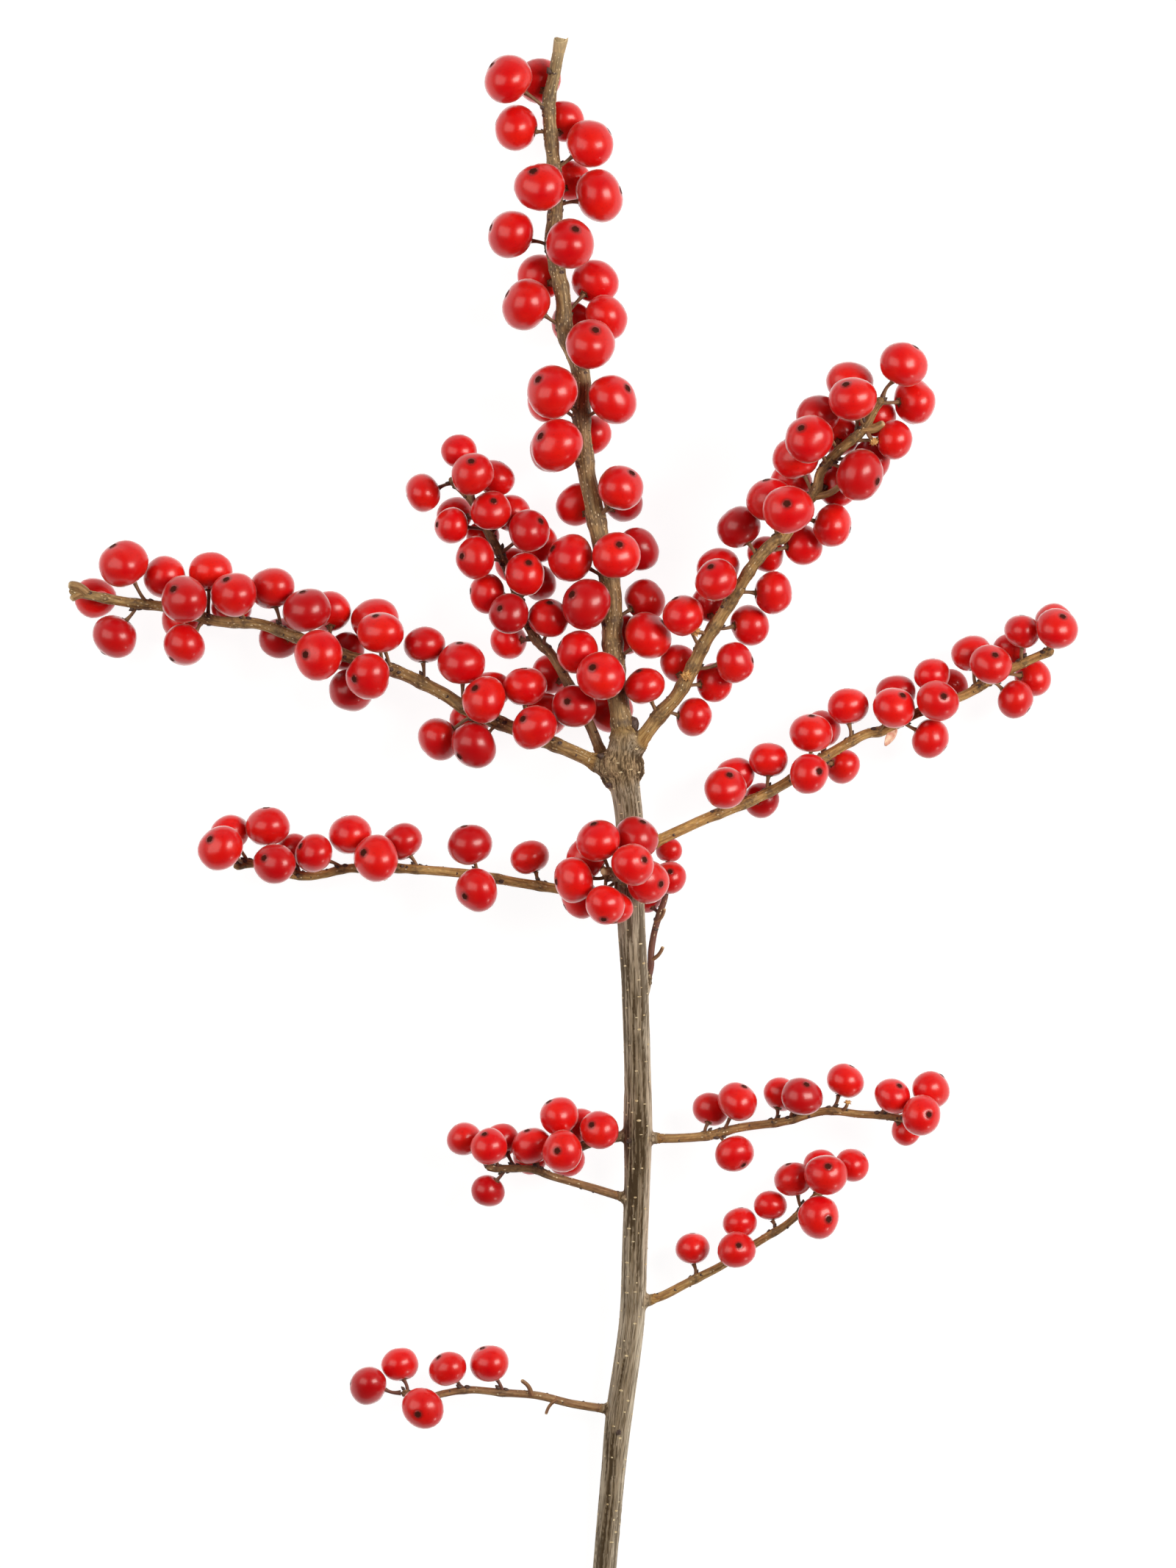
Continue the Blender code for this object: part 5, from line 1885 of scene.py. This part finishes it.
def torn_tip():
    """The torn end of the leader: a sleeve of bark with splinters round pale wood."""
    path = grow_sprig()[0]["spray_leader"]
    radius = SPRAYS["spray_leader"]["wood"][1]
    heading = path.heading(path.length)
    end = path.at(path.length)
    points_round = len(TORN_RIM) * 3

    def ring(onward, reach, splinters):
        def point(angle):
            turn = angle / math.tau * len(TORN_RIM)
            near = int(turn) % len(TORN_RIM)
            far = (near + 1) % len(TORN_RIM)
            splinter = TORN_RIM[near] + (TORN_RIM[far] - TORN_RIM[near]) * (turn - int(turn))
            return place(end + heading * (onward + splinters * splinter - 1.6)
                         + clock_hand(heading, angle) * radius * reach)
        return point

    rings = [ring(-1.8, 0.9, 0), ring(-1.0, 1.06, 0), ring(0.0, 1.14, 0.2),
             ring(0.5, 1.2, 0.6), ring(0.6, 1.18, 1.0), ring(0.55, 1.02, 0.95),
             ring(0.3, 0.9, 0.6), ring(0.25, 0.5, 0.4)]
    mesh = spun_mesh(rings, points_round, place(end - heading * 3.6),
                     place(end - heading * 1.2))
    data = as_mesh(mesh, "torn_tip")
    rows = np.repeat(np.arange(len(rings)), points_round)
    rows = np.append(rows, [0, len(rings)])
    places = vertex_places(data) / MM
    warm, red = np.outer(TONES["spray_leader"], np.ones(len(places)))
    set_values(data, cut=np.where(rows >= 4, 1.0, DRIED_TIP), warm=warm, red=red,
               bark_place=places[:, [0, 2, 1]])
    data.materials.append(finishes()["young bark"])
    return make_object("torn_tip", data)


def withered_bract():
    """A small dead bract: a thin, cupped leaf with a drawn-out tip."""
    foot, tip = place(BRACT_FOOT), place(BRACT_TIP)
    run = tip - foot
    across = run.cross(Vector((0, 0, 1))).normalized()
    lift = across.cross(run).normalized()
    mesh = bmesh.new()
    grid = []
    for row in range(BRACT_ROWS):
        share = row / (BRACT_ROWS - 1)
        half = BRACT_WIDTH / 2 * MM * math.sin(math.pi * share ** 0.8) ** 0.8 + 0.00008
        line = []
        for column in range(BRACT_COLUMNS):
            reach = 2 * column / (BRACT_COLUMNS - 1) - 1
            cup = 0.45 * half * reach * reach
            wave = 0.12 * half * math.sin(9 * share) * reach
            point = foot + run * share + across * half * reach + lift * (cup + wave)
            line.append(mesh.verts.new(point))
        grid.append(line)
    for near, far in zip(grid, grid[1:]):
        for column in range(BRACT_COLUMNS - 1):
            mesh.faces.new((near[column], near[column + 1], far[column + 1],
                            far[column])).smooth = True
    bract = make_object("withered_bract", as_mesh(mesh, "withered_bract"))
    bract.modifiers.new("wall", "SOLIDIFY").thickness = BRACT_THICKNESS
    keep_result(bract)
    bract.data.materials.append(finishes()["bract"])
    return bract


class HOLLY_OT_stage(bpy.types.Operator):
    """Lay the floor, hang the lights and set the camera over the sprig."""

    bl_idname = "holly.stage"
    bl_label = "Set Stage"

    def execute(self, context):
        scene = context.scene
        look = scene.holly_stage
        scene.view_settings.view_transform = "Standard"
        mesh = bmesh.new()
        bmesh.ops.create_grid(mesh, x_segments=1, y_segments=1, size=FLOOR_HALF)
        floor = make_object("floor", as_mesh(mesh, "floor"))
        floor.data.materials.append(floor_paper(look))
        white_surroundings(scene)
        for name, (direction, distance, size) in LAMPS.items():
            lamp = bpy.data.lights.new(name, "AREA")
            lamp.shape = "RECTANGLE"
            lamp.size, lamp.size_y = size
            lamp.energy = getattr(look, f"{name}_power")
            lamp.color = WARM_LIGHT
            light = make_object(name, lamp)
            way = Vector(direction).normalized()
            light.location = way * distance
            light.rotation_euler = way.to_track_quat("Z", "Y").to_euler()
            light.visible_camera = False
        lens = bpy.data.cameras.new("camera")
        lens.lens = lens.sensor_width * look.camera_height / look.frame_height
        lens.clip_start = NEAREST_SEEN
        camera = make_object("camera", lens)
        camera.location = place(SPRIG_MIDDLE) + Vector((0, 0, look.camera_height))
        scene.camera = camera
        return {"FINISHED"}


def floor_paper(look):
    """Smooth white studio paper, lit from below like a light table so that shadows on it
    stay faint."""
    made, add, shader = new_material("white_paper")
    fibre = add("ShaderNodeTexNoise", {
        "Vector": (add("ShaderNodeTexCoord"), "Object"), "Scale": 1 / (0.6 * MM),
        "Detail": 2.0,
    })
    shade = add("ShaderNodeMapRange", {"Value": fibre, "To Min": 0.985, "To Max": 1.0})
    colour = add("ShaderNodeMix", [1.0, look.floor, shade], data_type="RGBA",
                 blend_type="MULTIPLY")
    fill_inputs(shader, {
        "Base Color": colour, "Roughness": 0.9, "Emission Color": (1, 1, 1, 1),
        "Emission Strength": 0.92,
    })
    return made


def white_surroundings(scene):
    """A studio that is bright low down and on the far side, and dark overhead."""
    scene.world = bpy.data.worlds.new("studio")
    scene.world.use_nodes = True
    tree = scene.world.node_tree
    add = functools.partial(add_node, tree)
    apart = add("ShaderNodeSeparateXYZ", [(add("ShaderNodeTexCoord"), "Generated")])
    level = add("ShaderNodeMapRange", [(apart, "Z"), 0.1, 0.8, 0.5, 0.02])
    side = add("ShaderNodeMapRange", [(apart, "Y"), -0.6, 0.7, 0.35, 1.0])
    strength = add("ShaderNodeMath", [level, side], operation="MULTIPLY")
    fill_inputs(tree.nodes["Background"], {
        "Color": (1, 1, 1, 1), "Strength": strength,
    })


class HOLLY_PT_sprig(bpy.types.Panel):
    """The steps that make the sprig."""

    bl_idname = "HOLLY_PT_sprig"
    bl_label = "Winterberry Sprig"
    bl_space_type = "VIEW_3D"
    bl_region_type = "UI"
    bl_category = "Holly"

    def draw(self, context):
        column = self.layout.column()
        for step in STEPS:
            column.operator(step.bl_idname)
        for group in (context.scene.holly_wood, context.scene.holly_berries,
                      context.scene.holly_stage):
            box = self.layout.box()
            for name in group.bl_rna.properties.keys():
                if name not in ("rna_type", "name"):
                    box.prop(group, name)


STEPS = (HOLLY_OT_stem, HOLLY_OT_twigs, HOLLY_OT_stalks, HOLLY_OT_berries, HOLLY_OT_buds,
         HOLLY_OT_scraps, HOLLY_OT_stage)
SETTINGS = (HollyWood, HollyBerries, HollyStage)


def register():
    for group in SETTINGS:
        bpy.utils.register_class(group)
    bpy.types.Scene.holly_wood = bpy.props.PointerProperty(type=HollyWood)
    bpy.types.Scene.holly_berries = bpy.props.PointerProperty(type=HollyBerries)
    bpy.types.Scene.holly_stage = bpy.props.PointerProperty(type=HollyStage)
    for step in STEPS:
        bpy.utils.register_class(step)
    bpy.utils.register_class(HOLLY_PT_sprig)


def unregister():
    bpy.utils.unregister_class(HOLLY_PT_sprig)
    for step in reversed(STEPS):
        bpy.utils.unregister_class(step)
    del bpy.types.Scene.holly_stage
    del bpy.types.Scene.holly_berries
    del bpy.types.Scene.holly_wood
    for group in reversed(SETTINGS):
        bpy.utils.unregister_class(group)


def clear_scene():
    """Remove what a new Blender file starts with, and keep the frame."""
    kept = {*frame["nodes"].values(), *frame["bodies"].values()}
    for thing in list(bpy.data.objects):
        if thing not in kept:
            bpy.data.objects.remove(thing)


def main():
    clear_scene()
    register()
    check_layout()
    bpy.ops.holly.stem()
    bpy.ops.holly.twigs()
    bpy.ops.holly.stalks()
    bpy.ops.holly.berries()
    bpy.ops.holly.buds()
    bpy.ops.holly.scraps()
    bpy.ops.holly.stage()
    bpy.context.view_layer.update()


if __name__ == "__main__":
    main()
